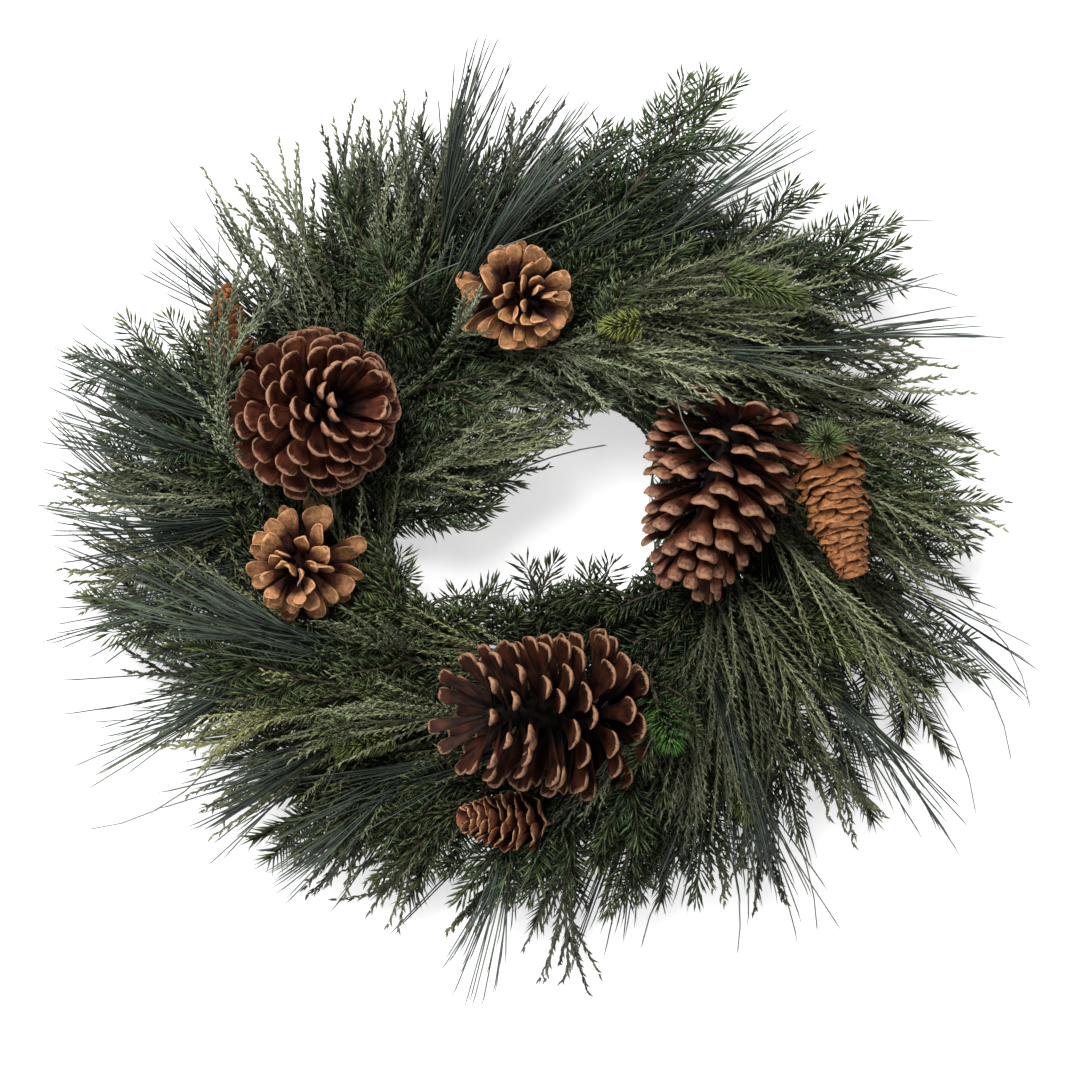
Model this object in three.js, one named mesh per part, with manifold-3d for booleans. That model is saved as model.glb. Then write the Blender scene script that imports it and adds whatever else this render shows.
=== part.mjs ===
// A preserved evergreen wreath, lying on its back: three kinds of foliage and eight cones
// carried by a ring of wound vines. Millimetres, +Z up out of the wreath's front.
import * as THREE from "three";
import { mergeVertices } from "three/addons/utils/BufferGeometryUtils.js";
import Module from "manifold-3d";

const wasm = await Module();
wasm.setup();

// ---- Driving dimensions, mm and degrees -------------------------------------------------

const CLEARANCE = 0.35; // air between neighbouring pieces
const SEAT_GAP = 0.3; // air under a cone that rests on what carries it
const SETTLE_START = 150; // height from which a cone is lowered on to what carries it
const SETTLE_REACH = 40; // furthest that one step of it goes
const SETTLE_STEPS = 60;
const SETTLE_CLOSE = 0.02;
const SURFACE_ROOM = 1.5; // lowest point of any leaf above the surface
const NEIGHBOUR_REACH = 4; // how far round a leaf its neighbours are looked for

const RING = {
  radius: 118, // middle of the bundle of vines
  halfWidth: 22, // of the bundle, before its strands stand out of it
  halfHeight: 10,
  strands: 3, // that show side by side round the bundle
  strandRelief: 3.2, // how far a strand's crown stands over the groove beside it
  twist: 2, // strands passed in one step round the ring, in sections
  steps: 30,
  sides: 10,
  pressed: 1.6, // depth of the flat underside
};

// The hole stays clear over this box, measured from the ring's middle.
const CLEAR_HOLE = new THREE.Box3(new THREE.Vector3(-2, -26, -50), new THREE.Vector3(62, 36, 250));

const ROOT_HEIGHT = 10; // of a stem's root inside the ring
const ARCH_AT = 0.4; // share of a stem's length over which its arch is highest
const STEM_SIDES = 4;
const STEM_STEPS = 4; // straight pieces along a stem
const HOLE_EASE = CLEARANCE * 1.45; // a stem's hole is cut this much larger across its corners
const SAMPLES_ALONG = 16; // points of a leaf that are tested against the cones and the hole
const ATTEMPTS = 14; // directions that a leaf may try before it is left out
const GOLDEN_ANGLE = 137.5;
const FIRST_SEED = 4100; // of the random draws, one seed for each spray

// What grows on a stem: lengths and radii of single leaves at their real size, and the
// shares of a stem or of a side twig over which they grow.
const FIR = {
  name: "fir",
  colour: 0x2f4a2a,
  stem: [2.6, 1.5],
  leafy: [0.18, 0.97], // share of the stem that carries leaves
  leaves: 8,
  leafLength: [12, 15],
  leafRadius: 0.7,
  splay: [40, 62], // degrees between leaf and stem
  twigs: 2,
  twigSpan: [0.3, 0.85],
  twigLeafy: [0.15, 0.72],
  twigLeafRadius: 0.5,
  twigLength: [34, 52],
  twigRadius: 1.6,
  overhang: 6,
  flat: 0.55, // 1 holds the leaves in one plane, 0 spreads them all round
};
const PINE = {
  name: "pine",
  colour: 0x35504c,
  stem: [2.8, 1.7],
  leafy: [0.45, 0.97],
  leaves: 10,
  leafLength: [72, 104],
  leafRadius: 0.8,
  splay: [8, 30],
  twigs: 0,
  overhang: 86, // how far the last needles reach past the stem
  flat: 0.35,
};
const CEDAR = {
  name: "cedar",
  colour: 0x56643f,
  stem: [2.6, 1.6],
  leafy: [0.16, 0.97],
  leaves: 10,
  leafLength: [22, 42],
  leafRadius: 0.95,
  splay: [26, 44],
  twigs: 0,
  overhang: 18,
  flat: 0.8,
};

// Every spray: kind, root on the ring [angle, radius], tip [x, y, z], height of the arch.
const SPRAYS = [
  // the outer circle, clockwise from the top
  [CEDAR, [123, 134], [-39, 255, 40], 58],
  [PINE, [114, 136], [-34, 282, 62], 76],
  [CEDAR, [106, 136], [6, 250, 34], 46],
  [FIR, [97, 137], [62, 236, 26], 34],
  [FIR, [84, 137], [132, 264, 44], 48],
  [PINE, [70, 137], [150, 236, 56], 70],
  [FIR, [60, 137], [180, 198, 24], 30],
  [FIR, [48, 137], [231, 165, 36], 42],
  [PINE, [40, 137], [268, 128, 56], 66],
  [CEDAR, [30, 137], [249, 81, 30], 34],
  [CEDAR, [21, 137], [280, 42, 38], 42],
  [FIR, [8, 137], [286, 6, 22], 26],
  [PINE, [-3, 137], [323, -84, 34], 34],
  [FIR, [-14, 137], [279, -99, 20], 26],
  [PINE, [-25, 137], [270, -178, 42], 56],
  [CEDAR, [-36, 137], [219, -189, 30], 42],
  [PINE, [-46, 137], [172, -238, 46], 62],
  [CEDAR, [-57, 137], [129, -233, 30], 40],
  [FIR, [-69, 137], [84, -230, 24], 30],
  [CEDAR, [-82, 137], [27, -292, 16], 30],
  [PINE, [-93, 137], [-16, -286, 40], 46],
  [CEDAR, [-105, 137], [-88, -246, 20], 30],
  [CEDAR, [-117, 137], [-128, -232, 34], 40],
  [PINE, [-128, 137], [-186, -201, 50], 60],
  [CEDAR, [-140, 137], [-192, -184, 22], 32],
  [PINE, [-151, 137], [-250, -158, 44], 56],
  [CEDAR, [-161, 137], [-206, -141, 24], 28],
  [PINE, [-172, 137], [-281, -83, 38], 44],
  [CEDAR, [178, 137], [-275, -50, 26], 30],
  [CEDAR, [168, 137], [-267, 21, 24], 28],
  [PINE, [160, 137], [-284, 78, 50], 52],
  [FIR, [151, 137], [-278, 98, 20], 28],
  [PINE, [141, 137], [-232, 150, 46], 56],
  [CEDAR, [132, 137], [-176, 196, 28], 40],
  [CEDAR, [129, 122], [-92, 240, 52], 78],
  // the upper layer, which covers the ring and reaches into the hole
  [PINE, [121, 118], [34, 238, 66], 84],
  [FIR, [115, 108], [-92, 158, 78], 100],
  [CEDAR, [76, 112], [165, 150, 74], 104],
  [FIR, [70, 100], [60, 112, 92], 110],
  [PINE, [60, 112], [178, 92, 72], 98],
  [CEDAR, [-34, 112], [102, -192, 70], 104],
  [FIR, [-22, 116], [194, -88, 56], 72],
  [PINE, [-28, 104], [150, -176, 70], 104],
  [FIR, [-50, 112], [84, -136, 88], 118],
  [FIR, [-36, 98], [40, -38, 40], 44],
  [FIR, [-66, 98], [20, -34, 30], 34],
  [FIR, [-116, 98], [-66, -40, 34], 42],
  [CEDAR, [-124, 108], [-122, -44, 72], 104],
  [PINE, [-136, 112], [-232, -66, 68], 94],
  [CEDAR, [172, 100], [20, 54, 52], 78],
  [FIR, [-176, 99], [-12, 6, 34], 44],
];

// The two kinds of cone. Widths and lengths are shares of the cone's radius.
const PINE_CONE = {
  core: 0.34, // of the cone's radius
  coreTop: 0.78, // of the cone's length
  rootDepth: 0.62, // radius at which the scales are rooted, of the core's
  scaleLength: 0.8, // of the cone's radius
  scaleWidth: 0.46,
  rootWidth: 0.13,
  tipWidth: 0.5, // of the scale's width, where 0 is a point
  rootThick: 2.4,
  tipThick: 6.4,
  tilt: [-12, 16, 64], // of the scales at the base, the middle and the tip
  span: [0.1, 0.7], // of the length that carries scales
  taper: 0.85, // length of the last scale against the longest
};
const SPRUCE_CONE = {
  core: 0.6,
  coreTop: 0.88,
  rootDepth: 0.62,
  scaleLength: 0.7,
  scaleWidth: 0.7,
  rootWidth: 0.24,
  tipWidth: 0,
  rootThick: 1.5,
  tipThick: 1.5,
  tilt: [48, 56, 80],
  span: [0.06, 0.78],
  taper: 0.6,
};
const CORE_SIDES = 6;
const CORE_PROFILE = [[0, 0], [0.8, 0], [1, 0.34], [0.5, 0.91], [0, 1]]; // radius and height, as shares
const SHOULDER = 0.78; // share of a scale's length at which it is widest
const ROOT_NARROWING = 0.55; // how much closer to the axis the last scale is rooted
const SCALE_NARROWING = 0.5; // how much narrower the last scale is
const KEEP_OUT = { across: 1.08, along: 1.2 }; // the egg round a cone, of its radius and length
const UMBER = 0x4a2c20;
const TAN = 0x96704a;
const BARK = 0x4b382a;
const LEAF_ROUGHNESS = 0.7;
const CONE_ROUGHNESS = 0.75;
const BARK_ROUGHNESS = 0.9;

// Every cone: kind, size, middle [x, y], and which way its tip points.
const CONES = [
  ["cone_a", PINE_CONE, { length: 88, radius: 52, scales: 28, colour: UMBER }, [-118, 64], [0.48, 0.12, 1]],
  ["cone_b", PINE_CONE, { length: 58, radius: 34, scales: 19, colour: TAN }, [-2, 129], [0.32, -0.16, 1]],
  ["cone_c", PINE_CONE, { length: 56, radius: 35, scales: 19, colour: TAN }, [-136, -29], [-0.3, -0.42, 1]],
  ["cone_d", PINE_CONE, { length: 126, radius: 50, scales: 29, colour: UMBER }, [-1, -118], [-1, 0, 0.42]],
  ["cone_f", PINE_CONE, { length: 124, radius: 50, scales: 29, colour: UMBER }, [109, 7], [-0.3, -1, -0.1]],
  ["cone_g", SPRUCE_CONE, { length: 86, radius: 26, scales: 24, colour: TAN }, [184, -3], [0.24, -1, 0.1]],
  ["cone_e", SPRUCE_CONE, { length: 56, radius: 18, scales: 20, colour: TAN }, [-18, -182], [-1, 0.08, 0.4]],
  ["cone_h", SPRUCE_CONE, { length: 52, radius: 17, scales: 10, colour: TAN }, [-176, 114], [-0.1, 1, 0.05]],
];

// ---- Solids --------------------------------------------------------------------------------

/** The solid that a closed three.js geometry encloses. */
function solidOf(geometry) {
  const bare = geometry.index ? geometry.toNonIndexed() : geometry.clone();
  for (const name of ["normal", "uv"]) {
    bare.deleteAttribute(name);
  }
  const merged = mergeVertices(bare, 1e-4);
  return new wasm.Manifold(
    new wasm.Mesh({
      numProp: 3,
      vertProperties: Float32Array.from(merged.attributes.position.array),
      triVerts: Uint32Array.from(merged.index.array),
    }),
  );
}

/** Solids grown together: one body, with sealed hollows filled and loose scraps dropped. */
function grownTogether(solids) {
  const bodies = wasm.Manifold.union(solids).decompose();
  return bodies.reduce((most, body) => (body.volume() > most.volume() ? body : most));
}

/** The three.js geometry of a solid. */
function geometryOf(solid) {
  const mesh = solid.getMesh();
  const geometry = new THREE.BufferGeometry();
  geometry.setAttribute("position", new THREE.BufferAttribute(mesh.vertProperties, 3));
  geometry.setIndex(new THREE.BufferAttribute(mesh.triVerts, 1));
  geometry.computeVertexNormals();
  return geometry;
}

/** A stem that follows a curve and tapers from its root to its tip. */
function rod(curve, [rootRadius, tipRadius]) {
  const flat = Math.PI / STEM_SIDES; // turns the section's flats to the sides
  const shape = new THREE.CylinderGeometry(tipRadius, rootRadius, 1, STEM_SIDES, STEM_STEPS, false, flat);
  const frames = curve.computeFrenetFrames(STEM_STEPS);
  const place = shape.attributes.position;
  const point = new THREE.Vector3();
  for (let i = 0; i < place.count; i += 1) {
    const along = place.getY(i) + 0.5;
    const step = Math.round(along * STEM_STEPS);
    curve.getPointAt(along, point);
    point.addScaledVector(frames.normals[step], place.getX(i));
    point.addScaledVector(frames.binormals[step], -place.getZ(i));
    place.setXYZ(i, point.x, point.y, point.z);
  }
  return shape;
}

/** A point given by its angle, radius and height. */
function polar([angle, radius], height) {
  const turn = THREE.MathUtils.degToRad(angle);
  return new THREE.Vector3(radius * Math.cos(turn), radius * Math.sin(turn), height);
}

/** Random numbers from 0 to 1 that are the same on every run. */
function seededRandom(seed) {
  let state = seed;
  return () => {
    state = (state + 0x6d2b79f5) | 0;
    let mixed = Math.imul(state ^ (state >>> 15), 1 | state);
    mixed = (mixed + Math.imul(mixed ^ (mixed >>> 7), 61 | mixed)) ^ mixed;
    return ((mixed ^ (mixed >>> 14)) >>> 0) / 4294967296;
  };
}

// ---- The ring ------------------------------------------------------------------------------

/** The bundle of vines, wound so tight that it is one ropy body, pressed flat underneath. */
function vineRing() {
  const shape = new THREE.TorusGeometry(RING.radius, 1, RING.sides, RING.steps);
  const place = shape.attributes.position;
  for (let i = 0; i < place.count; i += 1) {
    const turn = Math.atan2(place.getY(i), place.getX(i));
    const around = Math.atan2(place.getZ(i), Math.hypot(place.getX(i), place.getY(i)) - RING.radius);
    const strand = RING.strands * (around + turn * RING.twist);
    const relief = RING.strandRelief * Math.cos(strand);
    const radius = RING.radius + (RING.halfWidth + relief) * Math.cos(around);
    const height = (RING.halfHeight + relief) * Math.sin(around);
    place.setXYZ(i, radius * Math.cos(turn), radius * Math.sin(turn), height);
  }
  const bundle = solidOf(shape);
  const floor = bundle.boundingBox().min[2] + RING.pressed;
  return bundle.trimByPlane([0, 0, 1], floor).translate([0, 0, -floor]);
}

// ---- Cones ---------------------------------------------------------------------------------

/** One scale: root at the origin, growing along +Y, its upper face towards +Z. */
function coneScale(kind, length, radius) {
  const wide = (radius * kind.scaleWidth) / 2;
  const root = (radius * kind.rootWidth) / 2;
  const lip = wide * kind.tipWidth;
  const outline = new THREE.Shape([
    new THREE.Vector2(-root, 0),
    new THREE.Vector2(root, 0),
    new THREE.Vector2(wide, length * SHOULDER),
    ...(lip ? [lip, -lip] : [0]).map((x) => new THREE.Vector2(x, length)),
    new THREE.Vector2(-wide, length * SHOULDER),
  ]);
  const scale = new THREE.ExtrudeGeometry(outline, { depth: 1, bevelEnabled: false });
  const place = scale.attributes.position;
  for (let i = 0; i < place.count; i += 1) {
    const thick = THREE.MathUtils.lerp(kind.rootThick, kind.tipThick, place.getY(i) / length);
    place.setZ(i, (place.getZ(i) - 0.5) * thick);
  }
  return scale;
}

/** Value of a [base, middle, tip] triple at a share of the way along. */
function alongTriple([base, middle, tip], share) {
  return share < 0.5
    ? THREE.MathUtils.lerp(base, middle, share * 2)
    : THREE.MathUtils.lerp(middle, tip, share * 2 - 1);
}

/** A whole cone on the Z axis, base at 0: scales on a golden-angle spiral round a slim core. */
function cone(kind, { length, radius, scales }) {
  const coreRadius = radius * kind.core;
  const coreTop = length * kind.coreTop;
  const profile = CORE_PROFILE.map(([wide, high]) => new THREE.Vector2(wide * coreRadius, high * coreTop));
  const core = new THREE.LatheGeometry(profile, CORE_SIDES).rotateX(Math.PI / 2);
  const parts = [solidOf(core)];
  for (let i = 0; i < scales; i += 1) {
    const share = (i + 0.5) / scales;
    const around = THREE.MathUtils.degToRad(i * GOLDEN_ANGLE);
    const tilt = THREE.MathUtils.degToRad(alongTriple(kind.tilt, share));
    const height = length * THREE.MathUtils.lerp(kind.span[0], kind.span[1], share);
    const shrink = THREE.MathUtils.lerp(1, kind.taper, Math.max(0, share * 2 - 1));
    const reach = radius * kind.scaleLength * shrink;
    const outward = new THREE.Vector3(Math.cos(around), Math.sin(around), 0);
    const grow = outward.clone().multiplyScalar(Math.cos(tilt)).setZ(Math.sin(tilt));
    const across = new THREE.Vector3(Math.sin(around), -Math.cos(around), 0);
    const rootRadius = coreRadius * kind.rootDepth * (1 - share * ROOT_NARROWING);
    const frame = new THREE.Matrix4()
      .makeBasis(across, grow, across.clone().cross(grow))
      .setPosition(outward.multiplyScalar(rootRadius).setZ(height));
    const scale = coneScale(kind, reach, radius * (1 - share * SCALE_NARROWING));
    parts.push(solidOf(scale.applyMatrix4(frame)));
  }
  return grownTogether(parts);
}

/** Turns a cone's local solid to its place, its middle over the given spot at a height. */
function conePose(length, [x, y], axis, height) {
  const turn = new THREE.Quaternion().setFromUnitVectors(
    new THREE.Vector3(0, 0, 1),
    new THREE.Vector3(...axis).normalize(),
  );
  const middle = new THREE.Vector3(0, 0, length / 2).applyQuaternion(turn);
  return new THREE.Matrix4().compose(
    new THREE.Vector3(x, y, height).sub(middle),
    turn,
    new THREE.Vector3(1, 1, 1),
  );
}

/** Whether two solids' boxes overlap when seen from above. */
function overEachOther(first, second) {
  const a = first.boundingBox();
  const b = second.boundingBox();
  return [0, 1].every((axis) => a.min[axis] < b.max[axis] && b.min[axis] < a.max[axis]);
}

/** Height of a solid's middle once it is lowered on to the supports below it. */
function restingHeight(solid, poseAt, supports) {
  const below = supports.filter((support) => overEachOther(support, solid.transform(poseAt(0).elements)));
  let height = SETTLE_START;
  for (let step = 0; step < SETTLE_STEPS; step += 1) {
    const lowered = solid.transform(poseAt(height).elements);
    const room = Math.min(...below.map((support) => lowered.minGap(support, SETTLE_REACH))) - SEAT_GAP;
    if (room < SETTLE_CLOSE) {
      break;
    }
    height -= room;
  }
  return height;
}

// ---- Sprays --------------------------------------------------------------------------------

/** The curve of a spray's stem, from inside the ring to where its wood ends. */
function stemCurve([kind, root, tip, arch]) {
  const start = polar(root, ROOT_HEIGHT);
  const end = new THREE.Vector3(...tip);
  const control = start.clone().lerp(end, ARCH_AT).setZ(arch);
  const whole = new THREE.QuadraticBezierCurve3(start, control, end);
  const wood = 1 - kind.overhang / whole.getLength();
  const cut = whole.getPoint(wood);
  return new THREE.QuadraticBezierCurve3(start, start.clone().lerp(control, wood), cut);
}

/** Shortest distance between two segments. */
function segmentGap(first, second) {
  const along = first.end.clone().sub(first.start);
  const other = second.end.clone().sub(second.start);
  const between = first.start.clone().sub(second.start);
  const a = along.lengthSq();
  const b = along.dot(other);
  const c = other.lengthSq();
  const d = along.dot(between);
  const e = other.dot(between);
  const parallel = a * c - b * b;
  let s = parallel > 1e-9 ? THREE.MathUtils.clamp((b * e - c * d) / parallel, 0, 1) : 0;
  const t = THREE.MathUtils.clamp((b * s + e) / c, 0, 1);
  s = THREE.MathUtils.clamp((b * t - d) / a, 0, 1);
  return between.addScaledVector(along, s).addScaledVector(other, -t).length();
}

/** The straight pieces that stand for a rod when other rods are kept clear of it. */
function rodSegments(curve, [rootRadius, tipRadius], owner) {
  const points = curve.getSpacedPoints(STEM_STEPS);
  return points.slice(1).map((end, i) => {
    const radius = THREE.MathUtils.lerp(rootRadius, tipRadius, i / STEM_STEPS);
    return { start: points[i], end, radius, owner, box: new THREE.Box3().setFromPoints([points[i], end]) };
  });
}

/** The middle line of a rod as it is built: straight from step to step. */
function middleLine(curve) {
  const line = new THREE.CurvePath();
  curve.getSpacedPoints(STEM_STEPS).forEach((end, i, points) => {
    if (i) {
      line.add(new THREE.LineCurve3(points[i - 1], end));
    }
  });
  return line;
}

/** Whether a leaf keeps its air to every piece placed so far, to the surface and to the hole. */
function isClear(leaf, placed, keepOuts) {
  if (Math.min(leaf.start.z, leaf.end.z) - leaf.radius < SURFACE_ROOM) {
    return false;
  }
  const samples = new THREE.LineCurve3(leaf.start, leaf.end).getPoints(SAMPLES_ALONG);
  if (samples.some((sample) => CLEAR_HOLE.containsPoint(sample))) {
    return false;
  }
  if (keepOuts.some((keepOut) => samples.some((sample) => keepOut(sample)))) {
    return false;
  }
  const reach = leaf.box.clone().expandByScalar(NEIGHBOUR_REACH);
  return placed.every(
    (other) =>
      other.owner === leaf.owner ||
      !reach.intersectsBox(other.box) ||
      segmentGap(leaf, other) > leaf.radius + other.radius + CLEARANCE,
  );
}

/** A spray's leaves and twigs, each a slim three-sided spike that stands out of the stem. */
function growLeaves(kind, curve, owner, placed, keepOuts) {
  const random = seededRandom(FIRST_SEED + owner);
  const between = ([low, high]) => low + (high - low) * random();
  const spikes = [];
  const grow = (path, share, order, lengths, radius) => {
    const start = path.getPoint(share);
    const forward = path.getTangent(share);
    const side = new THREE.Vector3(0, 0, 1).cross(forward).normalize();
    const up = forward.clone().cross(side);
    for (let attempt = 0; attempt < ATTEMPTS; attempt += 1) {
      const hand = order % 2 ? 1 : -1;
      const roll = ((1 - kind.flat) * (random() * 2 - 1) * Math.PI) / 2;
      const splay = THREE.MathUtils.degToRad(between(kind.splay));
      const outward = side.clone().multiplyScalar(hand * Math.cos(roll)).addScaledVector(up, Math.sin(roll));
      const grown = forward.clone().multiplyScalar(Math.cos(splay)).addScaledVector(outward, Math.sin(splay));
      const end = start.clone().addScaledVector(grown, between(lengths));
      const box = new THREE.Box3().setFromPoints([start, end]);
      const leaf = { start, end, radius, owner, box };
      if (isClear(leaf, placed, keepOuts)) {
        placed.push(leaf);
        spikes.push(leaf);
        return leaf;
      }
    }
    return null;
  };
  const stem = middleLine(curve);
  const paths = [stem];
  for (let i = 0; i < kind.twigs; i += 1) {
    const share = THREE.MathUtils.lerp(...kind.twigSpan, i / kind.twigs);
    const twig = grow(stem, share, i, kind.twigLength, kind.twigRadius);
    if (twig) {
      paths.push(new THREE.LineCurve3(twig.start, twig.end));
    }
  }
  for (let i = 0; i < kind.leaves; i += 1) {
    const path = paths[i % paths.length];
    const row = (Math.floor(i / paths.length) + 1) / Math.ceil(kind.leaves / paths.length);
    const onStem = path === stem;
    const share = THREE.MathUtils.lerp(...(onStem ? kind.leafy : kind.twigLeafy), row);
    const radius = onStem ? kind.leafRadius : kind.twigLeafRadius;
    grow(path, share, i + Math.floor(i / paths.length), kind.leafLength, radius);
  }
  return spikes;
}

/** A needle, twig or branchlet: three sides, sunk into the stem and drawn to a fine end. */
function spike({ start, end, radius }) {
  const length = start.distanceTo(end);
  const shape = new THREE.ConeGeometry(radius, length, 3, 1);
  const turn = new THREE.Quaternion().setFromUnitVectors(
    new THREE.Vector3(0, 1, 0),
    end.clone().sub(start).normalize(),
  );
  return solidOf(shape.applyQuaternion(turn).translate(...start.clone().lerp(end, 0.5)));
}

// ---- The wreath ----------------------------------------------------------------------------

/** A named mesh with its own material. */
function piece(name, solid, colour, roughness) {
  const material = new THREE.MeshStandardMaterial({ color: colour, roughness, metalness: 0 });
  const mesh = new THREE.Mesh(geometryOf(solid), material);
  mesh.name = name;
  return mesh;
}

/** Rounds a cone to an egg that leaves must stay out of. */
function coneKeepOut(pose, { length, radius }) {
  const inverse = pose.clone().invert();
  return (point) => {
    const local = point.clone().applyMatrix4(inverse);
    const off = Math.hypot(local.x, local.y) / (radius * KEEP_OUT.across + CLEARANCE);
    const along = (local.z - length / 2) / ((length / 2) * KEEP_OUT.along + CLEARANCE);
    return off * off + along * along < 1;
  };
}

const wreath = new THREE.Group();
const stems = SPRAYS.map((spray, owner) => {
  const curve = stemCurve(spray);
  return { curve, solid: solidOf(rod(curve, spray[0].stem)), owner };
});

const drilled = stems.reduce((ring, { curve }, owner) => {
  const fat = SPRAYS[owner][0].stem.map((radius) => radius + HOLE_EASE);
  const longer = new THREE.QuadraticBezierCurve3(
    curve.v0.clone().addScaledVector(curve.getTangentAt(0), -CLEARANCE),
    curve.v1,
    curve.v2,
  );
  return ring.subtract(solidOf(rod(longer, fat)));
}, vineRing());
wreath.add(piece("vine_ring", drilled, BARK, BARK_ROUGHNESS));

const supports = [drilled, ...stems.map((stem) => stem.solid)];
const keepOuts = [];
for (const [name, kind, size, spot, axis] of CONES) {
  const solid = cone(kind, size);
  const poseAt = (height) => conePose(size.length, spot, axis, height);
  const pose = poseAt(restingHeight(solid, poseAt, supports));
  supports.push(solid.transform(pose.elements));
  keepOuts.push(coneKeepOut(pose, size));
  const mesh = piece(name, solid, size.colour, CONE_ROUGHNESS);
  mesh.applyMatrix4(pose);
  wreath.add(mesh);
}

const placed = stems.flatMap(({ curve, owner }) => rodSegments(curve, SPRAYS[owner][0].stem, owner));
const counts = {};
for (const { curve, solid, owner } of stems) {
  const kind = SPRAYS[owner][0];
  const spikes = growLeaves(kind, curve, owner, placed, keepOuts).map(spike);
  counts[kind.name] = (counts[kind.name] ?? 0) + 1;
  const name = `${kind.name}_spray_${String(counts[kind.name]).padStart(2, "0")}`;
  wreath.add(piece(name, grownTogether([solid, ...spikes]), kind.colour, LEAF_ROUGHNESS));
}

// The wreath's middle stands over the origin, with the ring's flat underside on the surface.
const bounds = new THREE.Box3().setFromObject(wreath, true);
const middle = bounds.getCenter(new THREE.Vector3());
wreath.position.set(-middle.x, -middle.y, -bounds.min.z);

export default wreath;
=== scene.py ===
# %% [markdown]
# # A preserved evergreen wreath
# A florist winds vines into a ring and pushes sprays of fir, pine and cedar into it. All of them
# lean the same way round, so that each hides the cut end of the one before. Cones are wired on
# last. This lesson dresses a plain CAD wreath with the fine growth that such sprays have: more
# than a hundred thousand needles and scales, nearly all of them placed by rule.

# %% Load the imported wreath
from collections import namedtuple

import bpy
import numpy as np
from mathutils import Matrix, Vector


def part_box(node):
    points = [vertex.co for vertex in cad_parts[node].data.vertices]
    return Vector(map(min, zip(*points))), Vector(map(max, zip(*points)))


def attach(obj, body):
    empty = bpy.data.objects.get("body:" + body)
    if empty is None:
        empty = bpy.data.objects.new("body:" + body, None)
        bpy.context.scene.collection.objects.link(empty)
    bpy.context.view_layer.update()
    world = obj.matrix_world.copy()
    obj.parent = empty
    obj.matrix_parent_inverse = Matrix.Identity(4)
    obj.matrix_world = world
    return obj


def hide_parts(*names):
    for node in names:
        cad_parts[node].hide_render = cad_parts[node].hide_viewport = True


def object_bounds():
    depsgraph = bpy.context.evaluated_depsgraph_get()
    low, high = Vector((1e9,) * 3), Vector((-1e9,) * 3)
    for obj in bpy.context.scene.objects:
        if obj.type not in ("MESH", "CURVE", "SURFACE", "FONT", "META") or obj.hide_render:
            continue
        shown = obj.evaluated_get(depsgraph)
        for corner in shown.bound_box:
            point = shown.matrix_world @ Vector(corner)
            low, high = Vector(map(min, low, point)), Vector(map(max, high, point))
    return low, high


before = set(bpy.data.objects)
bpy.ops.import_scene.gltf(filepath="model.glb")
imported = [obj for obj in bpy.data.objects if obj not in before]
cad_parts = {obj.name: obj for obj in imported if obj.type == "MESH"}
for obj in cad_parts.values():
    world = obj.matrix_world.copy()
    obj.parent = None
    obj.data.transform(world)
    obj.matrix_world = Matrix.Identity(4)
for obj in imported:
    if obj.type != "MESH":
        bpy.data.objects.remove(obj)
cad_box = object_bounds()
print("CAD box", cad_box)

# %% [markdown]
# ## One place to measure from
# Everything on a wreath is placed round the middle of its ring. The CAD ring says where that is,
# so every number below is in millimetres from the ring's middle, and one function turns such a
# number into the frame's metres.

# %% Measure from the ring's middle
MM = 0.001
UP = np.array((0.0, 0.0, 1.0))
RING_LOW, RING_HIGH = (np.array(corner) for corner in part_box("vine_ring"))
MIDDLE = (RING_LOW + RING_HIGH) / 2 * (1, 1, 0)


def spot(x, y, z=0.0):
    """A point given in millimetres from the ring's middle, in metres in the frame."""
    return MIDDLE + np.array((x, y, z), float) * MM


def round_ring(angle, radius, z=0.0):
    """A point given by its angle in degrees and its radius and height in millimetres."""
    turn = np.radians(angle)
    return spot(radius * np.cos(turn), radius * np.sin(turn), z)


print("ring's middle", MIDDLE, "ring", RING_LOW, RING_HIGH)

# %% [markdown]
# ## The camera
# The wreath lies on its flat back, and the camera looks straight down on it, from far enough
# away that the tall cones don't lean outward.

# %% Place the camera
VIEW_WIDTH = 648 * MM
VIEW_HEIGHT = 2.6
SHARP_LEVEL = 40 * MM  # height at which the view is exactly that wide
VIEW_MIDDLE = spot(9, -15)
FAR_LIMIT = 20

camera = bpy.data.objects.new("view", bpy.data.cameras.new("view"))
bpy.context.scene.collection.objects.link(camera)
camera.location = (VIEW_MIDDLE[0], VIEW_MIDDLE[1], VIEW_HEIGHT)
camera.data.lens = camera.data.sensor_width * (VIEW_HEIGHT - SHARP_LEVEL) / VIEW_WIDTH
camera.data.clip_end = FAR_LIMIT
bpy.context.scene.camera = camera
print("lens", round(camera.data.lens, 1), "mm")

# %% [markdown]
# ## The light
# Four large soft lamps stand round the wreath, none of them overhead: light that comes in low from
# the sides catches the tops of the needles and leaves the gaps between them nearly black. The
# lamp above the wreath is the strongest, so that every cone scale is bright on its upper lip and
# dark underneath. A faint even light from all round, as in a tent, fills the rest.

# %% Hang the lamps
LAMPS = {  # where each lamp hangs and how wide it is, in metres, and its watts
    "lamp_above": ((-0.7, 1.3, 1.9), 1.2, 112),
    "lamp_right": ((1.6, 0.6, 1.3), 1.4, 19),
    "lamp_left": ((-1.7, -0.3, 1.3), 1.4, 24),
    "lamp_below": ((0.5, -1.6, 1.5), 1.4, 17),
}
TENT_LIGHT = 0.11

for name, (place, size, watts) in LAMPS.items():
    lamp = bpy.data.objects.new(name, bpy.data.lights.new(name, "AREA"))
    lamp.data.size = size
    lamp.data.energy = watts
    lamp.location = place
    lamp.rotation_euler = (-Vector(place)).to_track_quat("-Z", "Y").to_euler()
    bpy.context.scene.collection.objects.link(lamp)

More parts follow.
